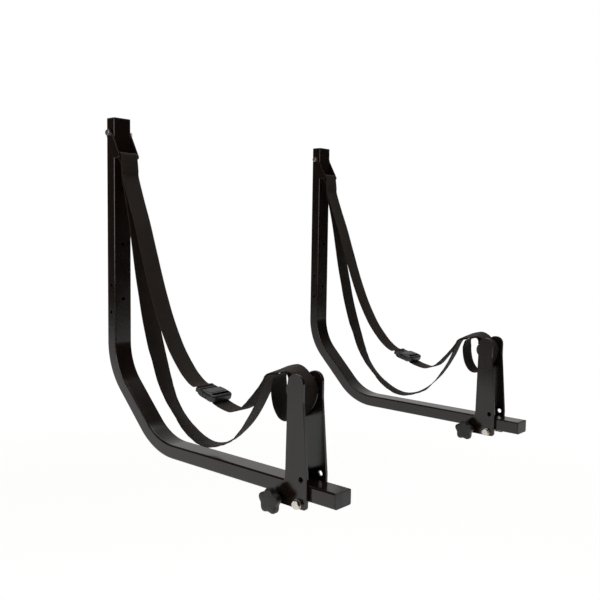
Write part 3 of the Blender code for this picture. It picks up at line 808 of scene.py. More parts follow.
@dataclass(frozen=True)
class Cloth:
    """A strap's flat size, and what it hangs from."""

    width: float
    length: float
    held_by: str


@dataclass
class Piece:
    """One finished piece of the rack that stands on the middle plane."""

    object: Object
    finish: Finish
    body: str
    stands_for: tuple[str, ...] = ()
    bend: Bend | None = None
    cloth: Cloth | None = None


def body_name(side: Side, stem: str) -> str:
    """A body's full name: the wall's side is one body, and the others belong to a rack."""
    return stem if stem == "wall_side" else side.word + "_" + stem


@dataclass
class ArmTube:
    """The bent arm of 1.5 x 1 in rectangular tube, drilled for the wall screws."""

    width: float = 38.1 * MM
    depth: float = 25.4 * MM
    wall: float = 2.0 * MM
    corner: float = 3.0 * MM
    height: float = 625.0 * MM
    reach: float = 575.0 * MM
    knee: float = 147.86 * MM
    bend_radius: float = 117.0 * MM
    cap: float = 2.8 * MM
    screw_heights: tuple[float, ...] = (280.0 * MM, 386.0 * MM, 492.0 * MM)
    screw_hole: float = 7.5 * MM
    side_heights: tuple[float, ...] = (254.2 * MM, 305.8 * MM)
    side_hole: float = 6.0 * MM
    bolt_height: float = 596.5 * MM
    bolt_hole: float = 6.6 * MM

    def section(self) -> Object:
        """The tube's outline at the top of the post, as a closed run of edges."""
        Bench.clear()
        middle = (0.0, -self.depth / 2, self.height - self.cap)
        bpy.ops.mesh.primitive_plane_add(size=1.0, location=middle)
        bpy.context.object.scale = (self.width, self.depth, 1.0)
        tube = Bench.settle("bent_tube")
        with Editing(tube, Pick.CORNERS) as edit:
            edit.everything()
            edit.round_corners(self.corner, 5)
            edit.everything()
            bpy.ops.mesh.delete(type="ONLY_FACE")
        return tube

    def bend(self, tube: Object) -> None:
        """Draws the outline down the post, round both bends and along the arm.

        Args:
            tube: the outline, which becomes the tube's outer skin.
        """
        tangent = self.bend_radius * math.tan(math.pi / 8)
        middle = self.depth / 2
        straight = (self.knee - middle) * math.sqrt(2) - 2 * tangent
        slant = Vector((0, -1, -1)).normalized()
        centres = (
            Vector((0, -middle - self.bend_radius, self.knee + tangent)),
            Vector((0, -self.knee - tangent, middle + self.bend_radius)),
        )
        with Editing(tube, Pick.EDGES) as edit:
            edit.everything()
            edit.extrude_edges(Vector((0, 0, self.knee + tangent - (self.height - self.cap))))
            edit.spin(math.pi / 4, centres[0], Axis.X, 20)
            edit.extrude_edges(slant * straight)
            edit.spin(math.pi / 4, centres[1], Axis.X, 20)
            edit.extrude_edges(Vector((0, -(self.reach - self.cap - self.knee - tangent), 0)))
            edit.face_out()

    def drill(self, tube: Object) -> None:
        """Drills the wall screws' holes, the two side holes and the hanger bolt's hole.

        Args:
            tube: the tube with its wall.
        """
        through = 3 * self.width
        for height in self.screw_heights:
            Bench.cut(tube, Bench.rod("drill", (0, 0, height), Axis.Y, self.screw_hole / 2, through))
        for height in self.side_heights:
            place = (0, -self.depth / 2, height)
            Bench.cut(tube, Bench.rod("drill", place, Axis.X, self.side_hole / 2, through))
        place = (0, -self.depth / 2, self.bolt_height)
        Bench.cut(tube, Bench.rod("drill", place, Axis.X, self.bolt_hole / 2, through))

    def build(self) -> list[Piece]:
        """The finished tube."""
        tube = self.section()
        self.bend(tube)
        Bench.modify(tube, "SOLIDIFY", thickness=self.wall, offset=-1.0, use_even_offset=True)
        self.drill(tube)
        Bench.ease(tube, 0.35 * MM)
        Bench.smooth(tube)
        return [Piece(tube, Finish.STEEL, "wall_side", ("arm_tube",))]


@dataclass
class TubePlug:
    """The moulded plug in each end of the tube."""

    width: float = 38.1 * MM
    depth: float = 25.4 * MM
    corner: float = 3.0 * MM
    flange: float = 2.5 * MM
    plug: float = 14.0 * MM
    inset: float = 2.3 * MM
    height: float = 625.0 * MM
    reach: float = 575.0 * MM

    def model(self) -> Object:
        """A plug that stands on the tube's end at z = 0, its flange up."""
        half = Vector((self.width / 2, self.depth / 2, 0))
        crown = Bench.block("tube_plug", (-half.x, -half.y, 0), (half.x, half.y, self.flange))
        with Editing(crown, Pick.EDGES) as edit:
            edit.edges(lambda a, b: abs(a.z - b.z) > 1 * MM)
            edit.bevel(self.corner, 5)
            edit.edges(lambda a, b: min(a.z, b.z) > self.flange - 1e-6)
            edit.bevel(1.1 * MM, 4)
        inner = half - Vector((self.inset, self.inset, 0))
        body = Bench.block("plug_body", (-inner.x, -inner.y, -self.plug), (inner.x, inner.y, 0.5 * MM))
        with Editing(body, Pick.EDGES) as edit:
            edit.edges(lambda a, b: abs(a.z - b.z) > 1 * MM)
            edit.bevel(1.0 * MM, 3)
        hollow = inner - Vector((1.6 * MM, 1.6 * MM, 0))
        Bench.cut(body, Bench.block("hollow", (-hollow.x, -hollow.y, -2 * self.plug), (hollow.x, hollow.y, -1.5 * MM)))
        Bench.weld(crown, body)
        return Bench.smooth(crown)

    def build(self) -> list[Piece]:
        """The post's plug and the arm's."""
        top = self.model()
        end = Bench.copy(top, "arm_plug", Vector())
        middle = self.depth / 2
        Bench.place(top, Matrix.Translation((0, -middle, self.height - self.flange)))
        turn = Matrix.Rotation(math.pi / 2, 4, "X")
        Bench.place(end, Matrix.Translation((0, self.flange - self.reach, middle)) @ turn)
        top.name = "post_plug"
        return [
            Piece(top, Finish.CAP, "wall_side", ("post_cap",)),
            Piece(end, Finish.CAP, "wall_side", ("arm_cap",)),
        ]


@dataclass
class HexBolt:
    """A hex bolt along X with its head at the lower end, and its nut."""

    name: str
    place: Vector
    thread: float
    flats: float
    head: float
    head_start: float
    tip: float
    nut_start: float
    nut: float

    def hexagon(self, name: str, start: float, height: float, both: bool) -> Object:
        """A hexagon with its corners turned off.

        Args:
            name: its name.
            start: its lower end along X.
            height: its height.
            both: whether the corners are turned off at both ends.

        Returns:
            The hexagon.
        """
        reach = self.flats / 2 / math.cos(math.pi / 6)
        middle = self.place + Vector((start + height / 2, 0, 0))
        prism = Bench.rod(name, middle, Axis.X, reach, height, 6)
        ease = reach - self.flats / 2 * 0.94
        drop = ease * 0.55
        end = (height - drop, reach * 1.001), (height, reach - ease)
        rows = [(0.0, reach - ease), (drop, reach * 1.001), *(end if both else ((height, reach * 1.001),))]
        turned = Bench.turned("turned", self.place + Vector((start, 0, 0)), Axis.X, rows, 48)
        return Bench.combine(prism, [turned], "INTERSECT")

    def build_bolt(self) -> Object:
        """The bolt: head, plain shank and rolled thread."""
        bolt = self.hexagon(self.name, self.head_start, self.head, False)
        radius = self.thread / 2
        start = self.head_start + self.head * 0.5
        rows = [(start, radius), (self.tip - radius * 0.35, radius), (self.tip, radius * 0.72)]
        shank = Bench.turned("shank", self.place, Axis.X, rows, 36)
        Bench.weld(bolt, shank)
        Bench.ease(bolt, 0.18 * MM)
        return Bench.smooth(bolt)

    def build_nut(self) -> Object:
        """The nut, bored for the bolt."""
        nut = self.hexagon(self.name + "_nut", self.nut_start, self.nut, True)
        middle = self.place + Vector((self.nut_start, 0, 0))
        Bench.cut(nut, Bench.rod("bore", middle, Axis.X, self.thread / 2 + 0.15 * MM, 4 * self.nut))
        Bench.ease(nut, 0.18 * MM)
        return Bench.smooth(nut)


@dataclass
class Hanger:
    """The stirrup that carries the webbing: two ears on a bolt through the post, and a welded bar."""

    axis: Vector = field(default_factory=lambda: Vector((0, -12.7, 596.5)) * MM)
    bar: Vector = field(default_factory=lambda: Vector((0, -39.5, 553.5)) * MM)
    ear_inner: float = 20.35 * MM
    ear: float = 3.0 * MM
    ear_width: float = 15.0 * MM
    toe: float = 8.7 * MM
    heel: float = 13.5 * MM
    sole: float = 5.4 * MM
    bar_size: float = 8.0 * MM
    hole: float = 6.6 * MM

    def ear_outline(self) -> list[tuple[float, float, float]]:
        """The ear's corners: round about the bolt, with a level foot under the bar."""
        lean = (self.bar - self.axis).normalized()
        square = Vector((0, -lean.z, lean.y))
        radius = self.ear_width / 2
        top = self.axis - lean * radius
        rows = []
        for sign in (-1, 1):
            corner = top + square * radius * sign
            rows.append((-corner.y, corner.z, radius * 0.97))
        out, up = -self.bar.y, self.bar.z - self.sole
        return rows + [(out - self.heel, up, 4 * MM), (out + self.toe, up, 4.5 * MM)]

    def build_stirrup(self) -> Object:
        """The ears, the bar and the beads that weld them."""
        outer = self.ear_inner + self.ear
        stirrup = Bench.rod("strap_stirrup", self.bar, Axis.X, self.bar_size / 2, 2 * outer - 1.6 * MM, 40)
        for sign in (-1, 1):
            start = self.ear_inner if sign > 0 else -outer
            ear = Bench.slab("ear", self.ear_outline(), start, self.ear)
            Bench.cut(ear, Bench.rod("drill", self.axis, Axis.X, self.hole / 2, 4 * outer))
            Bench.ease(ear, 0.45 * MM, 3)
            Bench.weld(stirrup, ear)
            radius = self.bar_size / 2
            rows = [(-0.6 * MM, radius + 1.2 * MM), (0.2 * MM, radius + 1.1 * MM), (0.9 * MM, radius + 0.5 * MM),
                    (1.4 * MM, radius - 0.1 * MM)]
            rows = [(sign * (self.ear_inner - along), size) for along, size in rows]
            Bench.weld(stirrup, Bench.turned("bead", Vector((0, self.bar.y, self.bar.z)), Axis.X, rows, 32))
        return Bench.smooth(stirrup, 40)

    def build(self) -> list[Piece]:
        """The stirrup, its bolt and its lock nut."""
        seat = self.ear_inner + self.ear + 0.3 * MM
        bolt = HexBolt("hanger_bolt_zinc", self.axis, 6.0 * MM, 10.0 * MM, 4.0 * MM, -seat - 4.0 * MM,
                       seat + 6.0 * MM, seat, 5.0 * MM)
        return [
            Piece(self.build_stirrup(), Finish.STEEL, "hanger", ("strap_hanger",)),
            Piece(bolt.build_bolt(), Finish.ZINC, "wall_side", ("hanger_bolt",)),
            Piece(bolt.build_nut(), Finish.ZINC, "wall_side", ("hanger_nut",)),
        ]


@dataclass
class Upright:
    """The two plates that slide along the arm, with the pins, roller and bolt between them."""

    inner: float = 20.65 * MM
    plate: float = 5.0 * MM
    top: float = 196.0 * MM
    bottom: float = -12.5 * MM
    top_width: float = 31.6 * MM
    middle: float = 497.0 * MM
    foot_front: float = 523.0 * MM
    back: float = 478.2 * MM
    fuller: float = 1.4 * MM
    web_top: float = 118.0 * MM
    foot_back: float = 451.5 * MM
    spare_hole: tuple[float, float, float] = (511.0 * MM, 34.0 * MM, 4.5 * MM)
    guide_out: float = 506.0 * MM
    clamp_out: float = 464.0 * MM
    low_hole: float = 4.3 * MM
    drop: float = -5.0 * MM
    roller_out: float = 489.0 * MM
    roller_up: float = 169.0 * MM
    roller: float = 25.4 * MM
    roller_wall: float = 2.6 * MM
    axle: float = 8.0 * MM
    flange: float = 32.0 * MM
    flange_thickness: float = 0.7 * MM
    bushing: float = 10.0 * MM
    saddle_out: float = 486.0 * MM
    saddle: float = 10.0 * MM
    arm_top: float = 25.4 * MM
    gap: float = 0.3 * MM

    def plate_corners(self, far: bool) -> list[tuple[float, float, float]]:
        """A plate's outline: a tapering blade with a foot towards the wall.

        Args:
            far: whether it is the far plate, whose back edge is a little fuller.

        Returns:
            Rows of out, up and the corner's radius.
        """
        radius = self.top_width / 2
        front, back = self.middle + radius, self.middle - radius
        foot_top = -self.bottom * 0.5
        rows = [
            (back, self.top, radius * 0.92), (front, self.top, radius * 0.92),
            (front, self.top - 2.6 * radius, 60 * MM), (self.foot_front, 35 * MM, 30 * MM),
            (self.foot_front, self.bottom, 6 * MM), (self.foot_back, self.bottom, 5 * MM),
            (self.foot_back, foot_top, 7 * MM), (self.back, foot_top + 22 * MM, 14 * MM),
        ]
        return rows + [(self.back - self.fuller, self.web_top, 25 * MM)] if far else rows

    def build_plate(self, sign: int) -> Object:
        """One plate with its three holes.

        Args:
            sign: -1 for the near plate and 1 for the far one.

        Returns:
            The plate.
        """
        start = self.inner if sign > 0 else -self.inner - self.plate
        name = "upright_blade_far" if sign > 0 else "upright_blade_near"
        blade = Bench.slab(name, self.plate_corners(sign > 0), start, self.plate)
        out, up, radius = self.spare_hole
        holes = ((out, up, radius), (self.guide_out, self.drop, self.low_hole), (self.clamp_out, self.drop, self.low_hole))
        for out, up, radius in holes:
            Bench.cut(blade, Bench.rod("drill", (start, -out, up), Axis.X, radius, 6 * self.plate))
        Bench.ease(blade, 0.65 * MM, 3, 40)
        return Bench.smooth(blade)

    def build_pins(self) -> list[Piece]:
        """The roller's axle and the saddle pin, welded between the plates."""
        long = 2 * (self.inner - self.gap)
        places = (
            ("axle_bar", "roller_axle", self.roller_out, self.roller_up, self.axle / 2),
            ("saddle_bar", "saddle_pin", self.saddle_out, self.arm_top + self.gap + self.saddle / 2, self.saddle / 2),
        )
        made = []
        for name, node, out, up, radius in places:
            edge = 0.5 * MM
            rows = [(-long / 2, radius - edge), (edge - long / 2, radius), (long / 2 - edge, radius), (long / 2, radius - edge)]
            bar = Bench.smooth(Bench.turned(name, Vector((0, -out, up)), Axis.X, rows, 40))
            made.append(Piece(bar, Finish.STEEL, "upright", (node,)))
        return made

    def build_roller(self) -> list[Piece]:
        """The plastic sleeve and its two flanged bushings."""
        centre = Vector((0, -self.roller_out, self.roller_up))
        half = self.inner - 2 * self.gap - self.flange_thickness
        long = half - self.gap
        outer, bore = self.roller / 2, self.roller / 2 - self.roller_wall
        edge = 0.5 * MM
        rows = [(-long, outer - edge), (edge - long, outer), (long - edge, outer), (long, outer - edge)]
        sleeve = Bench.turned("roller_sleeve", centre, Axis.X, rows, 56)
        Bench.cut(sleeve, Bench.rod("bore", centre, Axis.X, bore, 4 * long, 56))
        made = [Piece(Bench.smooth(Bench.ease(sleeve, 0.2 * MM)), Finish.ROLLER, "roller", ("roller",))]
        for name, sign in (("near", -1), ("far", 1)):
            hub = bore - self.gap
            rim = self.flange / 2
            rows = [
                (half - self.bushing, hub - 0.4 * MM), (half - self.bushing + 0.4 * MM, hub), (half, hub),
                (half, rim - 0.15 * MM), (half + 0.15 * MM, rim), (half + self.flange_thickness - 0.15 * MM, rim),
                (half + self.flange_thickness, rim - 0.15 * MM),
            ]
            rows = [(sign * along, radius) for along, radius in rows]
            bushing = Bench.turned("bushing_" + name + "_nylon", centre, Axis.X, rows, 56)
            Bench.cut(bushing, Bench.rod("bore", centre, Axis.X, self.axle / 2 + self.gap, 6 * half, 40))
            made.append(Piece(Bench.smooth(bushing), Finish.NYLON, "roller", ("bushing_" + name,)))
        return made

    def build_guide(self) -> list[Piece]:
        """The zinc bolt under the arm, with its washer and nut."""
        axis = Vector((0, -self.guide_out, self.drop))
        outer = self.inner + self.plate
        washer_start = outer + self.gap
        thick = 1.6 * MM
        seat = washer_start + thick + self.gap
        bolt = HexBolt("guide_bolt_zinc", axis, 8.0 * MM, 13.0 * MM, 5.3 * MM, -seat - 5.3 * MM,
                       outer + self.gap + 9.0 * MM, outer + self.gap, 7.5 * MM)
        washer = ClampSet.washer("guide_washer_zinc", axis, -washer_start - thick, 8.0 * MM, 16.0 * MM, thick)
        return [
            Piece(bolt.build_bolt(), Finish.ZINC, "upright", ("guide_bolt",)),
            Piece(washer, Finish.ZINC, "upright", ("guide_washer",)),
            Piece(bolt.build_nut(), Finish.ZINC, "upright", ("guide_nut",)),
        ]

    def build(self) -> list[Piece]:
        """Everything that slides along the arm, apart from the clamp and the buckle."""
        made = [
            Piece(self.build_plate(-1), Finish.STEEL, "upright", ("upright_plate_near",)),
            Piece(self.build_plate(1), Finish.STEEL, "upright", ("upright_plate_far",)),
        ]
        return made + self.build_pins() + self.build_roller() + self.build_guide()


@dataclass
class ClampSet:
    """The five-lobed knob, its stud and washer, and the nut on the far plate."""

    axis: Vector = field(default_factory=lambda: Vector((0, -464.0, -5.0)) * MM)
    plate_outer: float = 25.65 * MM
    stand: float = 25.0 * MM
    radius: float = 21.2 * MM
    dip: float = 2.2 * MM
    lobes: int = 5
    head: float = 13.0 * MM
    hub: float = 16.0 * MM
    thread: float = 8.0 * MM
    gap: float = 0.3 * MM

    @staticmethod
    def washer(name: str, axis: Vector, start: float, bore: float, across: float, thick: float) -> Object:
        """A flat washer along X.

        Args:
            name: its name.
            axis: a place on its axis.
            start: its lower face along X.
            bore: its hole's size before clearance.
            across: its outer size.
            thick: its thickness.

        Returns:
            The washer.
        """
        edge = 0.25 * MM
        rim = across / 2
        rows = [(start, rim - edge), (start + edge, rim), (start + thick - edge, rim), (start + thick, rim - edge)]
        piece = Bench.turned(name, axis, Axis.X, rows, 48)
        middle = axis + Vector((start + thick / 2, 0, 0))
        Bench.cut(piece, Bench.rod("bore", middle, Axis.X, bore / 2 + 0.3 * MM, 6 * thick, 36))
        return Bench.smooth(piece)

    def lobed(self, angle: float) -> float:
        """The knob's outline as a share of its radius, with one lobe at the bottom."""
        return 1.0 - self.dip / self.radius * (1 - math.cos(self.lobes * angle))

    def build_knob(self) -> Object:
        """The knob: five soft lobes with a slightly domed face, on a hub."""
        face = -self.plate_outer - self.stand
        head, rim = self.head, self.radius
        rows = [
            (0.0, rim * 0.30), (0.05 * MM, rim * 0.62), (0.25 * MM, rim * 0.78), (0.75 * MM, rim * 0.88),
            (1.5 * MM, rim * 0.945), (2.5 * MM, rim * 0.985), (3.6 * MM, rim), (head - 2.6 * MM, rim),
            (head - 1.4 * MM, rim * 0.98), (head - 0.5 * MM, rim * 0.93), (head, rim * 0.86),
        ]
        place = self.axis + Vector((face, 0, 0))
        return self.add_hub(Bench.turned("clamp_knob_lobed", place, Axis.X, rows, 120, self.lobed), face)

    def add_hub(self, knob: Object, face: float) -> Object:
        """Adds the hub behind the lobes and bores it for the stud.

        Args:
            knob: the lobed head.
            face: the knob's outer face along X.

        Returns:
            The knob.
        """
        hub, end = self.hub / 2, face + self.stand - 1.6 * MM - 2 * self.gap
        head = face + self.head
        rows = [
            (head - 3 * MM, hub * 1.22), (head, hub * 1.2), (head + 0.8 * MM, hub * 1.06), (head + 2.2 * MM, hub),
            (end - 0.5 * MM, hub), (end, hub - 0.5 * MM),
        ]
        Bench.weld(knob, Bench.turned("hub", self.axis, Axis.X, rows, 48))
        length = self.stand - 6.0 * MM
        bore = self.axis + Vector((end - length / 2 + 2 * MM, 0, 0))
        Bench.cut(knob, Bench.rod("bore", bore, Axis.X, self.thread / 2 + self.gap / 2, length, 40))
        return Bench.smooth(knob, 32)

    def build_stud(self) -> Object:
        """The stud from inside the knob to beyond the far nut."""
        start = -self.plate_outer - (self.stand - 6.0 * MM)
        end = self.plate_outer + self.gap + 6.5 * MM + 3.0 * MM
        radius = self.thread / 2
        rows = [(start, radius), (end - 1.2 * MM, radius), (end, radius - 1.0 * MM)]
        return Bench.smooth(Bench.turned("clamp_stud_threaded", self.axis, Axis.X, rows, 40))

    def build(self) -> list[Piece]:
        """The clamp's four pieces."""
        thick = 1.6 * MM
        start = -self.plate_outer - self.gap - thick
        washer = self.washer("clamp_washer_plastic", self.axis, start, self.thread, 16.0 * MM, thick)
        seat = self.plate_outer + self.gap
        nut = HexBolt("clamp", self.axis, self.thread, 13.0 * MM, 0.0, 0.0, 0.0, seat, 6.5 * MM).build_nut()
        return [
            Piece(self.build_knob(), Finish.KNOB, "knob", ("clamp_knob",)),
            Piece(self.build_stud(), Finish.THREADED, "knob", ("clamp_stud",)),
            Piece(washer, Finish.ROLLER, "clamp_washer", ("clamp_washer",)),
            Piece(nut, Finish.ZINC, "upright", ("clamp_nut",)),
        ]


@dataclass
class Buckle:
    """The side-release buckle, modelled flat along +Y and then laid on its slope."""

    start: Vector = field(default_factory=lambda: Vector((0, -260.0, 139.0)) * MM)
    fall: float = math.radians(14.0)
    width: float = 50.0 * MM
    base: float = 16.0 * MM
    base_thick: float = 7.0 * MM
    bar: float = 3.15 * MM
    web_slot: float = 4.0 * MM
    web_half: float = 20.0 * MM
    fork_thick: float = 5.0 * MM
    fork: float = 17.0 * MM
    arm: float = 6.0 * MM
    socket: float = 35.5 * MM
    thick: float = 13.0 * MM
    wall: float = 2.6 * MM
    cavity: float = 21.5 * MM
    window_start: float = 8.0 * MM
    window: float = 9.0 * MM
    web_bar: float = 4.5 * MM
    gap: float = 0.3 * MM

    def frame(self) -> Matrix:
        """Where the flat model lies: across, along and above as the world sees them."""
        along = Vector((0, -math.cos(self.fall), -math.sin(self.fall)))
        above = Vector((0, -math.sin(self.fall), math.cos(self.fall)))
        turn = Matrix((Vector((-1, 0, 0)), along, above)).transposed().to_4x4()
        return Matrix.Translation(self.start) @ turn

    @staticmethod
    def flat(name: str, corners: Sequence[tuple[float, float, float]], low: float, high: float) -> Object:
        """A slab cut to an outline of across and along values.

        Args:
            name: its name.
            corners: rows of across, along and the corner's radius.
            low: its lower face.
            high: its upper face.

        Returns:
            The slab.
        """
        piece = Bench.outline(name, [(along, across, radius) for across, along, radius in corners], 5)
        turn = Matrix(((0, 0, 1, 0), (0, -1, 0, 0), (1, 0, 0, low), (0, 0, 0, 1)))
        for vertex in piece.data.vertices:
            vertex.co = turn @ vertex.co
        with Editing(piece) as edit:
            edit.everything()
            edit.extrude(Vector((0, 0, high - low)))
            edit.face_out()
        return piece

    def build_socket(self) -> Object:
        """The socket: a rounded shell with a mouth, side windows, a webbing slot and a raised panel."""
        half, thick = self.width / 2, self.thick / 2
        start = self.base + self.gap
        end = start + self.socket
        corners = [
            (half - 2 * MM, start, 5 * MM), (half, start + 14 * MM, 9 * MM), (half - 1 * MM, end, 9 * MM),
            (1 * MM - half, end, 9 * MM), (-half, start + 14 * MM, 9 * MM), (2 * MM - half, start, 5 * MM),
        ]
        shell = self.flat("buckle_socket_shell", corners, -thick, thick)
        with Editing(shell, Pick.EDGES) as edit:
            edit.edges(lambda a, b: abs(a.z - b.z) < 1e-7)
            edit.bevel(4.2 * MM, 7)
        panel = self.flat(
            "panel",
            [(half - 8 * MM, start + 3.5 * MM, 3 * MM), (half - 6 * MM, start + 20 * MM, 5 * MM),
             (6 * MM - half, start + 20 * MM, 5 * MM), (8 * MM - half, start + 3.5 * MM, 3 * MM)],
            thick - 1 * MM, thick + 0.5 * MM,
        )
        with Editing(panel, Pick.EDGES) as edit:
            edit.edges(lambda a, b: min(a.z, b.z) > thick)
            edit.bevel(0.4 * MM, 3)
        Bench.weld(shell, panel)
        inside = thick - self.wall
        Bench.cut(shell, Bench.block(
            "cavity", (self.wall - half, start - 3 * MM, -inside), (half - self.wall, start + self.cavity, inside)))
        low = inside - 0.5 * MM
        for sign in (-1, 1):
            window = self.flat(
                "window",
                [(sign * (half + 5 * MM), start + self.window_start - 3 * MM, 2 * MM),
                 (sign * (half + 5 * MM), start + self.window_start + self.window + 3 * MM, 2 * MM),
                 (sign * (half - 3.4 * MM), start + self.window_start + self.window, 2 * MM),
                 (sign * (half - 3.4 * MM), start + self.window_start, 2 * MM)],
                -low, low,
            )
            Bench.cut(shell, window)
        slot_end, reach = end - self.web_bar, thick + 3 * MM
        slot = Bench.block("slot", (-self.web_half, slot_end - 2 * self.web_slot, -reach), (self.web_half, slot_end, reach))
        with Editing(slot, Pick.EDGES) as edit:
            edit.edges(lambda a, b: abs(a.z - b.z) > 1 * MM)
            edit.bevel(1.5 * MM, 4)
        Bench.cut(shell, slot)
        Bench.ease(shell, 0.35 * MM, 2, 40)
        return Bench.place(Bench.smooth(shell, 38), self.frame())

    def build_tongue(self) -> Object:
        """The tongue: a base with two webbing slots, a guide, and two springy arms with ribbed barbs."""
        half = self.width / 2 - 3 * MM
        thick = self.base_thick / 2
        base = self.flat(
            "buckle_tongue_fork",
            [(half, 0, 6 * MM), (half, self.base, 1.6 * MM), (-half, self.base, 1.6 * MM), (-half, 0, 6 * MM)],
            -thick, thick,
        )
        with Editing(base, Pick.EDGES) as edit:
            edit.edges(lambda a, b: abs(a.z - b.z) < 1e-7)
            edit.bevel(1.5 * MM, 4)
        Bench.weld(base, self.build_fork())
        for index in range(2):
            start = self.bar + index * (self.web_slot + 2.6 * MM)
            low, high = (-self.web_half, start, -2 * thick), (self.web_half, start + self.web_slot, 2 * thick)
            slot = Bench.block("slot", low, high)
            with Editing(slot, Pick.EDGES) as edit:
                edit.edges(lambda a, b: abs(a.z - b.z) > 1 * MM)
                edit.bevel(1.2 * MM, 3)
            Bench.cut(base, slot)
        Bench.ease(base, 0.3 * MM, 2, 40)
        return Bench.place(Bench.smooth(base, 38), self.frame())

    def build_fork(self) -> Object:
        """The two arms with their barbs, and the guide between them, as one flat moulding."""
        half = self.width / 2 - self.wall - 1.0 * MM
        tip, root = self.base + self.fork, self.base - 2 * MM
        barb = self.width / 2 - 0.6 * MM
        ledge = self.base + self.window_start + 0.6 * MM
        inner = half - self.arm
        fork = None
        for sign in (-1, 1):
            corners = [
                (sign * half, root, 0.3 * MM), (sign * half, ledge, 0.3 * MM), (sign * barb, ledge + 0.6 * MM, 1.2 * MM),
                (sign * barb, ledge + 7 * MM, 3 * MM), (sign * (half - 1.0 * MM), tip, 2.0 * MM),
                (sign * inner, tip, 1.6 * MM), (sign * inner, root, 0.3 * MM),
            ]
            arm = self.flat("arm", corners, -self.fork_thick / 2, self.fork_thick / 2)
            fork = arm if fork is None else Bench.weld(fork, arm)
        guide = self.flat(
            "guide",
            [(4 * MM, root, 0.3 * MM), (4 * MM, tip + 3 * MM, 3 * MM), (-4 * MM, tip + 3 * MM, 3 * MM), (-4 * MM, root, 0.3 * MM)],
            -self.fork_thick / 2, self.fork_thick / 2,
        )
        return Bench.weld(fork, guide)

    def build(self) -> list[Piece]:
        """The socket and the tongue."""
        return [
            Piece(self.build_socket(), Finish.BUCKLE, "upright", ("buckle_socket",)),
            Piece(self.build_tongue(), Finish.BUCKLE, "tongue", ("buckle_tongue",)),
        ]


class Route:
    """A smooth run through places given as millimetres out from the wall and up from the arm."""

    def __init__(self, places: Sequence[tuple[float, float]], step: float = 3.0 * MM) -> None:
        """Fits the run and divides it evenly.

        Args:
            places: the given places.
            step: the spacing of its stations, in metres.
        """
        self.marks: list[float] = [0.0]
        fine = self.fit([Vector(place) * MM for place in places])
        self.points = [fine[0]]
        self.reach = [0.0]
        for here, there in zip(fine, fine[1:]):
            self.reach.append(self.reach[-1] + (there - here).length)
        self.length = self.reach[-1]
        count = max(2, round(self.length / step))
        self.stations = [self.at(self.length * index / count) for index in range(count + 1)]
        self.fine = fine

    def fit(self, places: list[Vector]) -> list[Vector]:
        """A close run of points on the smooth curve through the places.

        Args:
            places: the places, in metres.

        Returns:
            The points, sixteen to each span.
        """
        run = []
        for index in range(len(places) - 1):
            before, here = places[max(index - 1, 0)], places[index]
            there, after = places[index + 1], places[min(index + 2, len(places) - 1)]
            for part in range(16):
                share = part / 16
                place = 2 * here + (there - before) * share
                place += (2 * before - 5 * here + 4 * there - after) * share ** 2
                place += (3 * here - before - 3 * there + after) * share ** 3
                run.append(place / 2)
        run.append(places[-1])
        self.fine = run
        return run

    def at(self, distance: float) -> tuple[Vector, Vector]:
        """The place and the direction at a distance along the run.

        Args:
            distance: how far along, in metres.

        Returns:
            The place and a unit vector, each as out and up values.
        """
        distance = min(max(distance, 0.0), self.length)
        index = next((i for i in range(1, len(self.reach)) if self.reach[i] >= distance), len(self.reach) - 1)
        first, second = self.fine[index - 1], self.fine[index]
        span = self.reach[index] - self.reach[index - 1]
        share = (distance - self.reach[index - 1]) / span if span else 0.0
        low, high = max(index - 2, 0), min(index + 1, len(self.fine) - 1)
        lead = (self.fine[high] - self.fine[low]).normalized()
        return first.lerp(second, share), lead


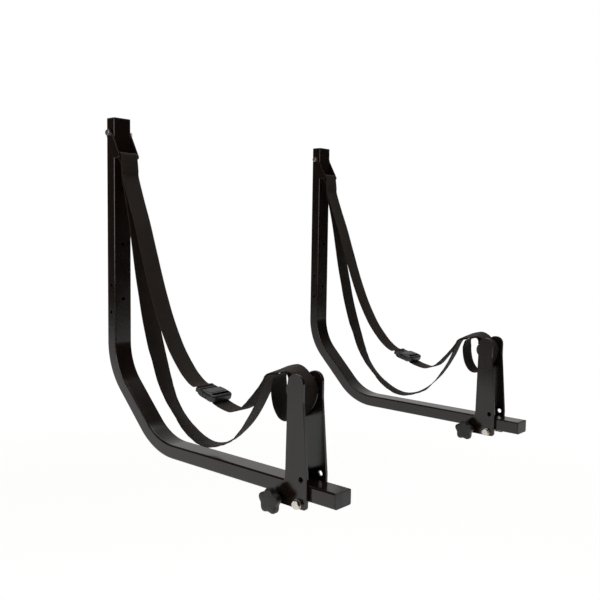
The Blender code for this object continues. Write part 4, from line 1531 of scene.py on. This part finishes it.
@dataclass
class Strap:
    """One run of webbing."""

    name: str
    node: str
    places: Sequence[tuple[float, float]]
    body: str
    held_by: str
    bend: tuple[str, str, tuple[float, float], tuple[float, float]] | None = None
    lean: Sequence[tuple[float, float, float]] = ()
    cup: float = 0.7 * MM
    width: float = 38.0 * MM
    thick: float = 1.6 * MM
    across_steps: int = 10

    def section(self) -> list[tuple[float, float, float]]:
        """The strap's rim round its cross-section: across, thickness and how much it takes of the cup."""
        half, deep = self.width / 2, self.thick / 2
        flat = []
        for step in range(self.across_steps + 1):
            across = (half - 0.9 * MM) * (1 - 2 * step / self.across_steps)
            flat.append(across)
        rim = [(half, 0.0), (half - 0.25 * MM, 0.62 * deep)]
        upper = rim + [(across, deep) for across in flat] + [(-across, up) for across, up in reversed(rim)]
        lower = [(-across, -up) for across, up in upper[1:-1]]
        loop = upper + lower + [upper[0]]
        return [(across, up, 1 - (across / half) ** 2) for across, up in loop]

    def lean_at(self, distance: float) -> tuple[float, float]:
        """How far the strap lies off its run, and how far it is rolled about it.

        Args:
            distance: how far along the run, in metres.

        Returns:
            The lift in metres, and the roll in radians.
        """
        rows = [(0.0, 0.0, 0.0), *self.lean, (10000.0, 0.0, 0.0)]
        index = next(i for i in range(1, len(rows)) if rows[i][0] * MM > distance)
        first, second = rows[index - 1], rows[index]
        share = (distance / MM - first[0]) / (second[0] - first[0])
        share = share * share * (3 - 2 * share)
        lift, roll = (first[k] + (second[k] - first[k]) * share for k in (1, 2))
        return lift * MM, math.radians(roll)

    def fade(self, distance: float, length: float) -> float:
        """How much of the cup is left near the run's two ends."""
        return min(1.0, distance / (25 * MM), (length - distance) / (25 * MM))

    def build(self) -> Piece:
        """The strap as a closed, rounded ribbon with a UV map in metres."""
        route = Route(self.places)
        loop = self.section()
        columns, rows = len(loop), len(route.stations)
        Bench.clear()
        bpy.ops.mesh.primitive_grid_add(x_subdivisions=columns - 1, y_subdivisions=rows - 1, size=1.0)
        ribbon = Bench.settle(self.name)
        marks = []
        for row, (place, lead) in enumerate(route.stations):
            distance = route.length * row / (rows - 1)
            normal = Vector((-lead.y, lead.x))
            shift, roll = self.lean_at(distance)
            cup = self.cup * max(0.0, self.fade(distance, route.length))
            for column, (across, up, share) in enumerate(loop):
                lift = up + cup * (share - 0.5) if self.cup else up
                out = place + normal * (shift + lift * math.cos(roll) + across * math.sin(roll))
                vertex = ribbon.data.vertices[row * columns + column]
                vertex.co = (across * math.cos(roll) - lift * math.sin(roll), -out.x, out.y)
                marks.append((across, distance))
        layer = ribbon.data.uv_layers[0].data
        for corner in ribbon.data.loops:
            layer[corner.index].uv = marks[corner.vertex_index]
        self.close(ribbon)
        cloth = Cloth(self.width, route.length, self.held_by)
        return Piece(ribbon, Finish.WEB, self.body, (self.node,), self.bending(), cloth)

    def close(self, ribbon: Object) -> None:
        """Closes the ribbon's seam and its two ends.

        Args:
            ribbon: the wrapped grid.
        """
        with Editing(ribbon, Pick.EDGES) as edit:
            edit.everything()
            bpy.ops.mesh.remove_doubles(threshold=1e-6)
            bpy.ops.mesh.select_all(action="DESELECT")
            bpy.ops.mesh.select_non_manifold(extend=False)
            bpy.ops.mesh.edge_face_add()
            edit.face_out()
        Bench.take(ribbon)
        bpy.ops.object.shade_smooth_by_angle(angle=math.radians(60))

    def bending(self) -> Bend | None:
        """The places between which the strap passes from one body to the next."""
        if not self.bend:
            return None
        first, second, start, end = self.bend
        places = [Vector((0, -out, up)) * MM for out, up in (start, end)]
        return Bend(first, second, *places)


# rows of distance along the run, lift off it and roll about it: millimetres and degrees
SLING_LEAN = (
    (95, 0, 0), (128, 1.6, -4.5), (162, 0.5, -6.5), (178, 0, -10.5), (200, -0.3, -15.3), (228, 0.9, -18.5),
    (244, 1.2, -18), (256, 0.5, -14.5), (270, 0.4, -10.3), (298, -0.5, -7), (315, -1.6, -3.5), (349, -2.1, 2.3),
    (370, -3.0, 6), (386, -3.7, 11.5), (402, -4.5, 16.3), (427, -3.9, 13.7), (455, -3.8, 12), (484, -3.6, 12.3),
    (500, -3.6, 11.5), (530, -3.0, 10.5), (542, -1.6, 8.2), (549, -0.9, 6.2), (567, -3.0, 10.8), (580, -3.1, 11.5),
)
CREST_LEAN = (
    (70, 0, 0), (87, -1.2, 3.8), (100, -2.2, 6.6), (126, -3.15, 9.5), (139, -3.5, 10.8), (153, -3.0, 10.5),
    (164, -1.6, 8.2), (172, -0.9, 6.2), (180, -1.7, 8.5), (189, -3.0, 11), (200, -3.4, 12.5), (208, -3.0, 12.5),
    (217, -1.2, 7), (227, 0.5, 2), (240, 0, 0), (394, 0, 0), (408, 0, 7), (418, 0, 10), (432, 0, 9), (446, 0, 3), (458, 0, 0),
)


@dataclass
class SlingSet:
    """The rack's webbing: one strap in the real rack, cut where one moving piece hands it to the next."""

    buckle: Buckle
    front_low: tuple[float, float] = (119.0, 335.0)
    front_end: tuple[float, float] = (203.0, 178.5)
    sling_start: tuple[float, float] = (47.8, 511.0)
    sling_low: tuple[float, float] = (99.0, 291.0)
    bar: tuple[float, float] = (39.5, 553.5)
    bar_radius: float = 4.0
    thick: float = 1.6

    def beside_buckle(self, rows: Iterable[tuple[float, float]]) -> list[tuple[float, float]]:
        """Places given along and above the buckle's line, in millimetres.

        Args:
            rows: the places.

        Returns:
            The same places as out and up values.
        """
        fall = self.buckle.fall
        origin = Vector((-self.buckle.start.y, self.buckle.start.z)) / MM
        along, above = Vector((math.cos(fall), -math.sin(fall))), Vector((math.sin(fall), math.cos(fall)))
        return [tuple(origin + along * first + above * second) for first, second in rows]

    def hanger_loop(self) -> list[tuple[float, float]]:
        """The places over the hanger's bar and back down behind the front run."""
        centre = Vector(self.bar)
        radius = self.bar_radius + 0.45 + self.thick / 2
        top = Vector((50.2, 512.0))
        lean = Vector((-0.11, 1.0)).normalized()
        square = Vector((-lean.y, lean.x))
        places = [top + lean * 12, top + lean * 24]
        for step in range(9):
            angle = math.radians(10 + 206 * step / 8)
            places.append(centre + Vector((math.cos(angle), math.sin(angle))) * radius)
        places += [top + lean * reach + square * (self.thick + 0.3) for reach in (26, 13, 0)]
        return [tuple(place) for place in places]

    def tongue_end(self) -> list[tuple[float, float]]:
        """The places down to the tongue, through its slot and back under the buckle as a loose tail."""
        rows = (
            (-8, 0.4), (-3.4, 2.4), (0.2, 4.2), (2.5, 4.75), (4.4, 4.0), (5.4, 0.5), (5.9, -3.5), (8.5, -6.2),
            (14, -7.8), (28, -8.0), (40, -8.2),
        )
        return [self.front_end, (219.5, 161.5), (232, 151.7), (242, 145.4)] + self.beside_buckle(rows)

    def socket_end(self) -> list[tuple[float, float]]:
        """The places from the socket's slot, over the crest, round the roller and into the spare loop."""
        rows = ((43, 1), (44, -5), (47.5, -8.1), (52.5, -8.4), (59.5, -9))
        return self.beside_buckle(rows) + [
            (331, 112.6), (343, 111.4), (354, 114), (369, 122.5), (387, 143.5), (403, 163.5), (414, 177),
            (422.3, 186.3), (432, 191), (446, 197.6), (463, 201.6), (475, 199.4), (487, 192), (496.5, 184.5),
            (502.2, 177), (503.7, 169), (503.4, 160), (500.5, 149), (494.5, 138), (487, 129), (479, 121.6),
            (468.5, 117.8), (457, 121.2), (447.8, 132), (443, 143.8), (440.2, 158), (439.6, 172), (441.6, 184.2),
            (447.5, 189.8), (457, 193.4), (467, 195.3), (473.5, 193.4),
            (476.5, 188), (476, 181),
        ]

    def straps(self) -> list[Strap]:
        """The six runs."""
        front_top = [self.front_low, (102, 380), (85.5, 425), (66.5, 470), (50.2, 512)] + self.hanger_loop()
        front_middle = [self.front_low, (137, 291), (157.5, 247), (183, 204), self.front_end]
        sling_top = [self.sling_start, (59.5, 470), (70.5, 425), (79.5, 380), (88.5, 335), self.sling_low]
        sling = [
            self.sling_low, (110.5, 247), (125, 203), (141, 160), (160, 122), (185, 88), (216, 62), (245, 47.5),
            (275, 42), (303, 47), (335, 64), (363, 89), (381, 112), (393, 130), (403, 148), (410.5, 164),
            (416, 175.4), (423.8, 184), (433, 188.9), (446.6, 195.2),
        ]
        buckle = (-self.buckle.start.y / MM, self.buckle.start.z / MM)
        return [
            Strap("front_run_and_loop", "strap_front_top", front_top, "hanger", "strap_stirrup",
                  ("hanger", "wall_side", self.bar, self.front_low)),
            Strap("front_run_middle", "strap_front_middle", front_middle, "wall_side", "front_run_and_loop",
                  ("wall_side", "upright", self.front_low, self.front_end)),
            Strap("front_run_and_tail", "strap_tongue_end", self.tongue_end(), "tongue", "buckle_tongue_fork",
                  ("upright", "tongue", self.front_end, buckle), cup=0.0),
            Strap("sling_upper_run", "strap_sling_top", sling_top, "hanger", "strap_stirrup",
                  ("hanger", "wall_side", self.bar, self.front_low)),
            Strap("sling_lower_run", "strap_sling", sling, "wall_side", "sling_upper_run",
                  ("wall_side", "upright", self.sling_low, (403, 148)), SLING_LEAN),
            Strap("crest_and_spare_loop", "strap_pin_end", self.socket_end(), "upright", "roller_sleeve",
                  lean=CREST_LEAN, cup=0.0),
        ]

    def stitches(self) -> Piece:
        """The sewn box below the hanger's bar: one stitch modelled, then copied round the box and across it."""
        top, lean = Vector((50.2, 512.0)), Vector((-0.11, 1.0)).normalized()
        outward = Vector((lean.y, -lean.x))
        stitch = Bench.block("sewn_box", (-1.15 * MM, -0.24 * MM, -0.12 * MM), (1.15 * MM, 0.24 * MM, 0.12 * MM))
        Bench.ease(stitch, 0.10 * MM, 2)
        Bench.take(stitch)
        bpy.ops.object.shade_smooth()
        low, high, side = 2.5, 22.5, 15.0
        lines = [((-side, low), (side, low)), ((side, low), (side, high)), ((side, high), (-side, high)),
                 ((-side, high), (-side, low)), ((-side, low), (side, high)), ((-side, high), (side, low))]
        copies = []
        for (across, along), (across_end, along_end) in lines:
            run = Vector((across_end - across, along_end - along))
            count = int(run.length / 3.1)
            for index in range(count):
                spot = Vector((across, along)) + run * (index + 0.5) / count
                place = (top + lean * spot.y + outward * (self.thick / 2 + 0.05)) * MM
                heading = run.normalized()
                forward = Vector((heading.x, -lean.x * heading.y, lean.y * heading.y))
                up = Vector((0, -outward.x, outward.y))
                turn = Matrix((forward, up.cross(forward), up)).transposed().to_4x4()
                where = Matrix.Translation((spot.x * MM, -place.x, place.y)) @ turn
                copies.append(Bench.place(Bench.copy(stitch, "stitch", Vector()), where))
        bpy.data.objects.remove(stitch, do_unlink=True)
        sewn = Bench.group(copies[0], *copies[1:])
        sewn.name = "sewn_box"
        bend = Bend("hanger", "wall_side", *(Vector((0, -out, up)) * MM for out, up in (self.bar, self.front_low)))
        return Piece(sewn, Finish.THREAD, "hanger", (), bend)

    def build(self) -> list[Piece]:
        """Every run and the stitches."""
        return [strap.build() for strap in self.straps()] + [self.stitches()]


@dataclass
class RackPair:
    """Both racks, copied from one set of pieces."""

    spacing: float = 610.0 * MM

    def model(self) -> list[Piece]:
        """The pieces of one rack on the middle plane."""
        buckle = Buckle()
        makers = (ArmTube(), TubePlug(), Hanger(), Upright(), ClampSet(), buckle, SlingSet(buckle))
        pieces = []
        for maker in makers:
            made = maker.build()
            LOG.info("%s: %s", type(maker).__name__, ", ".join(piece.object.name for piece in made))
            pieces += made
        return pieces

    def put(self, piece: Piece, side: Side) -> Object:
        """Copies a piece to its rack and ties it to the body it moves with, or, for a piece that passes between two
        bodies, puts its place into its mesh and leaves it untied.

        Args:
            piece: the piece on the middle plane.
            side: its rack.

        Returns:
            The copy.
        """
        across = Vector((side.sign * self.spacing / 2, 0, 0))
        name = side.word + "_" + piece.object.name
        copy = Bench.copy(piece.object, name, across)
        if piece.bend:
            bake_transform(copy)
        else:
            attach(copy, body_name(side, piece.body))
        if piece.stands_for:
            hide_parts(*(side.word + "_" + node for node in piece.stands_for))
        return copy

    def build(self, paint: PaintShelf) -> None:
        """Builds, paints and places both racks.

        Args:
            paint: the finishes.
        """
        pieces = self.model()
        for piece in pieces:
            paint.dress(piece.object, piece.finish)
        for side in Side:
            for piece in pieces:
                copy = self.put(piece, side)
                LOG.info("%s: %d faces", copy.name, len(copy.data.polygons))
        for piece in pieces:
            bpy.data.objects.remove(piece.object, do_unlink=True)


@dataclass
class Studio:
    """The camera at the photograph's angle, the plain floor, and soft light."""

    eye: tuple[float, float, float] = (-1.1988, -1.2614, 0.4089)
    yaw: float = math.radians(-48.896)
    pitch: float = math.radians(4.866)
    roll: float = math.radians(0.896)
    lens: float = 45.99
    floor_drop: float = -0.80
    surround: tuple[float, float] = (0.02, 0.68)
    floor_size: float = 12.5
    floor_reach: tuple[float, float] = (1.0, 4.0)
    floor_glow: tuple[float, float] = (0.67, 0.88)
    lamps: tuple[tuple[str, tuple[float, float, float], tuple[float, float, float], float, float, float], ...] = (
        ("side_box", (-2.4, -0.25, 0.62), (0.0, -0.25, 0.62), 1.6, 0.8, 14.2),
        ("top_box", (0.1, -0.2, 2.3), (0.0, -0.3, 0.2), 1.6, 1.6, 25.0),
    )

    def set_camera(self) -> None:
        """Sets the camera where the photograph was taken from."""
        camera = bpy.data.cameras.new("camera")
        camera.lens = self.lens
        camera.sensor_width = 36.0
        camera.clip_end = 100.0
        holder = bpy.data.objects.new("camera", camera)
        bpy.context.scene.collection.objects.link(holder)
        back = Vector((
            math.sin(self.yaw) * math.cos(self.pitch), -math.cos(self.yaw) * math.cos(self.pitch), math.sin(self.pitch)
        ))
        right = Vector((math.cos(self.yaw), math.sin(self.yaw), 0))
        up = back.cross(right)
        turned_right = right * math.cos(self.roll) + up * math.sin(self.roll)
        turned_up = up * math.cos(self.roll) - right * math.sin(self.roll)
        turn = Matrix((turned_right, turned_up, back)).transposed().to_4x4()
        holder.matrix_world = Matrix.Translation(self.eye) @ turn
        bpy.context.scene.camera = holder

    def set_world(self) -> None:
        """A white surround for the eye; as the light, a pale room that is dimmer before the racks than behind them."""
        world = bpy.data.worlds.new("studio")
        bpy.context.scene.world = world
        world.use_nodes = True
        tree = world.node_tree
        tree.nodes.clear()
        output = tree.nodes.new("ShaderNodeOutputWorld")
        seen, light = tree.nodes.new("ShaderNodeBackground"), tree.nodes.new("ShaderNodeBackground")
        seen.inputs["Strength"].default_value = 1.0
        seen.inputs["Color"].default_value = (1, 1, 1, 1)
        light.inputs["Color"].default_value = (1, 0.975, 0.955, 1)
        towards = tree.nodes.new("ShaderNodeTexCoord")
        parts = tree.nodes.new("ShaderNodeSeparateXYZ")
        level = tree.nodes.new("ShaderNodeMapRange")
        tree.links.new(towards.outputs["Generated"], parts.inputs[0])
        forward = tree.nodes.new("ShaderNodeMath")
        tree.links.new(parts.outputs[0], forward.inputs[0])
        tree.links.new(parts.outputs[1], forward.inputs[1])
        tree.links.new(forward.outputs[0], level.inputs[0])
        for socket, value in zip(level.inputs[1:5], (0.3, 1.3, *self.surround)):
            socket.default_value = value
        tree.links.new(level.outputs[0], light.inputs["Strength"])
        path = tree.nodes.new("ShaderNodeLightPath")
        straight = tree.nodes.new("ShaderNodeMath")
        straight.operation = "MAXIMUM"
        tree.links.new(path.outputs["Is Camera Ray"], straight.inputs[0])
        tree.links.new(path.outputs["Is Transmission Ray"], straight.inputs[1])
        mix = tree.nodes.new("ShaderNodeMixShader")
        tree.links.new(straight.outputs[0], mix.inputs[0])
        tree.links.new(light.outputs[0], mix.inputs[1])
        tree.links.new(seen.outputs[0], mix.inputs[2])
        tree.links.new(mix.outputs[0], output.inputs[0])

    def set_floor(self) -> None:
        """The pale floor below the racks, which keeps their shadow."""
        Bench.clear()
        bpy.ops.mesh.primitive_plane_add(size=self.floor_size, location=(0, 0, self.floor_drop))
        floor = Bench.settle("studio_floor")
        graph = Graph("studio_floor_white")
        graph.set(Base_Color=(0.86, 0.86, 0.86, 1.0), Roughness=0.9, Specular_IOR_Level=0.1, Emission_Color=(1, 1, 1, 1))
        path = graph.node("LightPath")
        seen = graph.math("MAXIMUM", path.outputs["Is Camera Ray"], path.outputs["Is Glossy Ray"])
        away = graph.node("VectorMath", graph.node("TexCoord").outputs["Object"], operation="LENGTH").outputs["Value"]
        glow = graph.range(away, *self.floor_reach, *self.floor_glow)
        graph.feed("Emission Strength", graph.math("MULTIPLY", seen, glow))
        floor.data.materials.append(graph.material)

    def set_lamps(self) -> None:
        """The soft lamps, each turned to the racks."""
        for name, place, aim, width, height, power in self.lamps:
            lamp = bpy.data.lights.new(name, "AREA")
            lamp.shape = "RECTANGLE"
            lamp.size, lamp.size_y = width, height
            lamp.energy = power
            holder = bpy.data.objects.new(name, lamp)
            bpy.context.scene.collection.objects.link(holder)
            holder.location = place
            holder.rotation_euler = (Vector(aim) - Vector(place)).to_track_quat("-Z", "Y").to_euler()

    def build(self) -> None:
        """Sets everything up around the racks."""
        self.set_camera()
        self.set_world()
        self.set_floor()
        self.set_lamps()
        bpy.context.scene.view_settings.view_transform = "Standard"


def main() -> None:
    """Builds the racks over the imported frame, then the studio."""
    logging.basicConfig(level=logging.INFO, format="%(message)s")
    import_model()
    RackPair().build(PaintShelf())
    Studio().build()


if __name__ == "__main__":
    main()
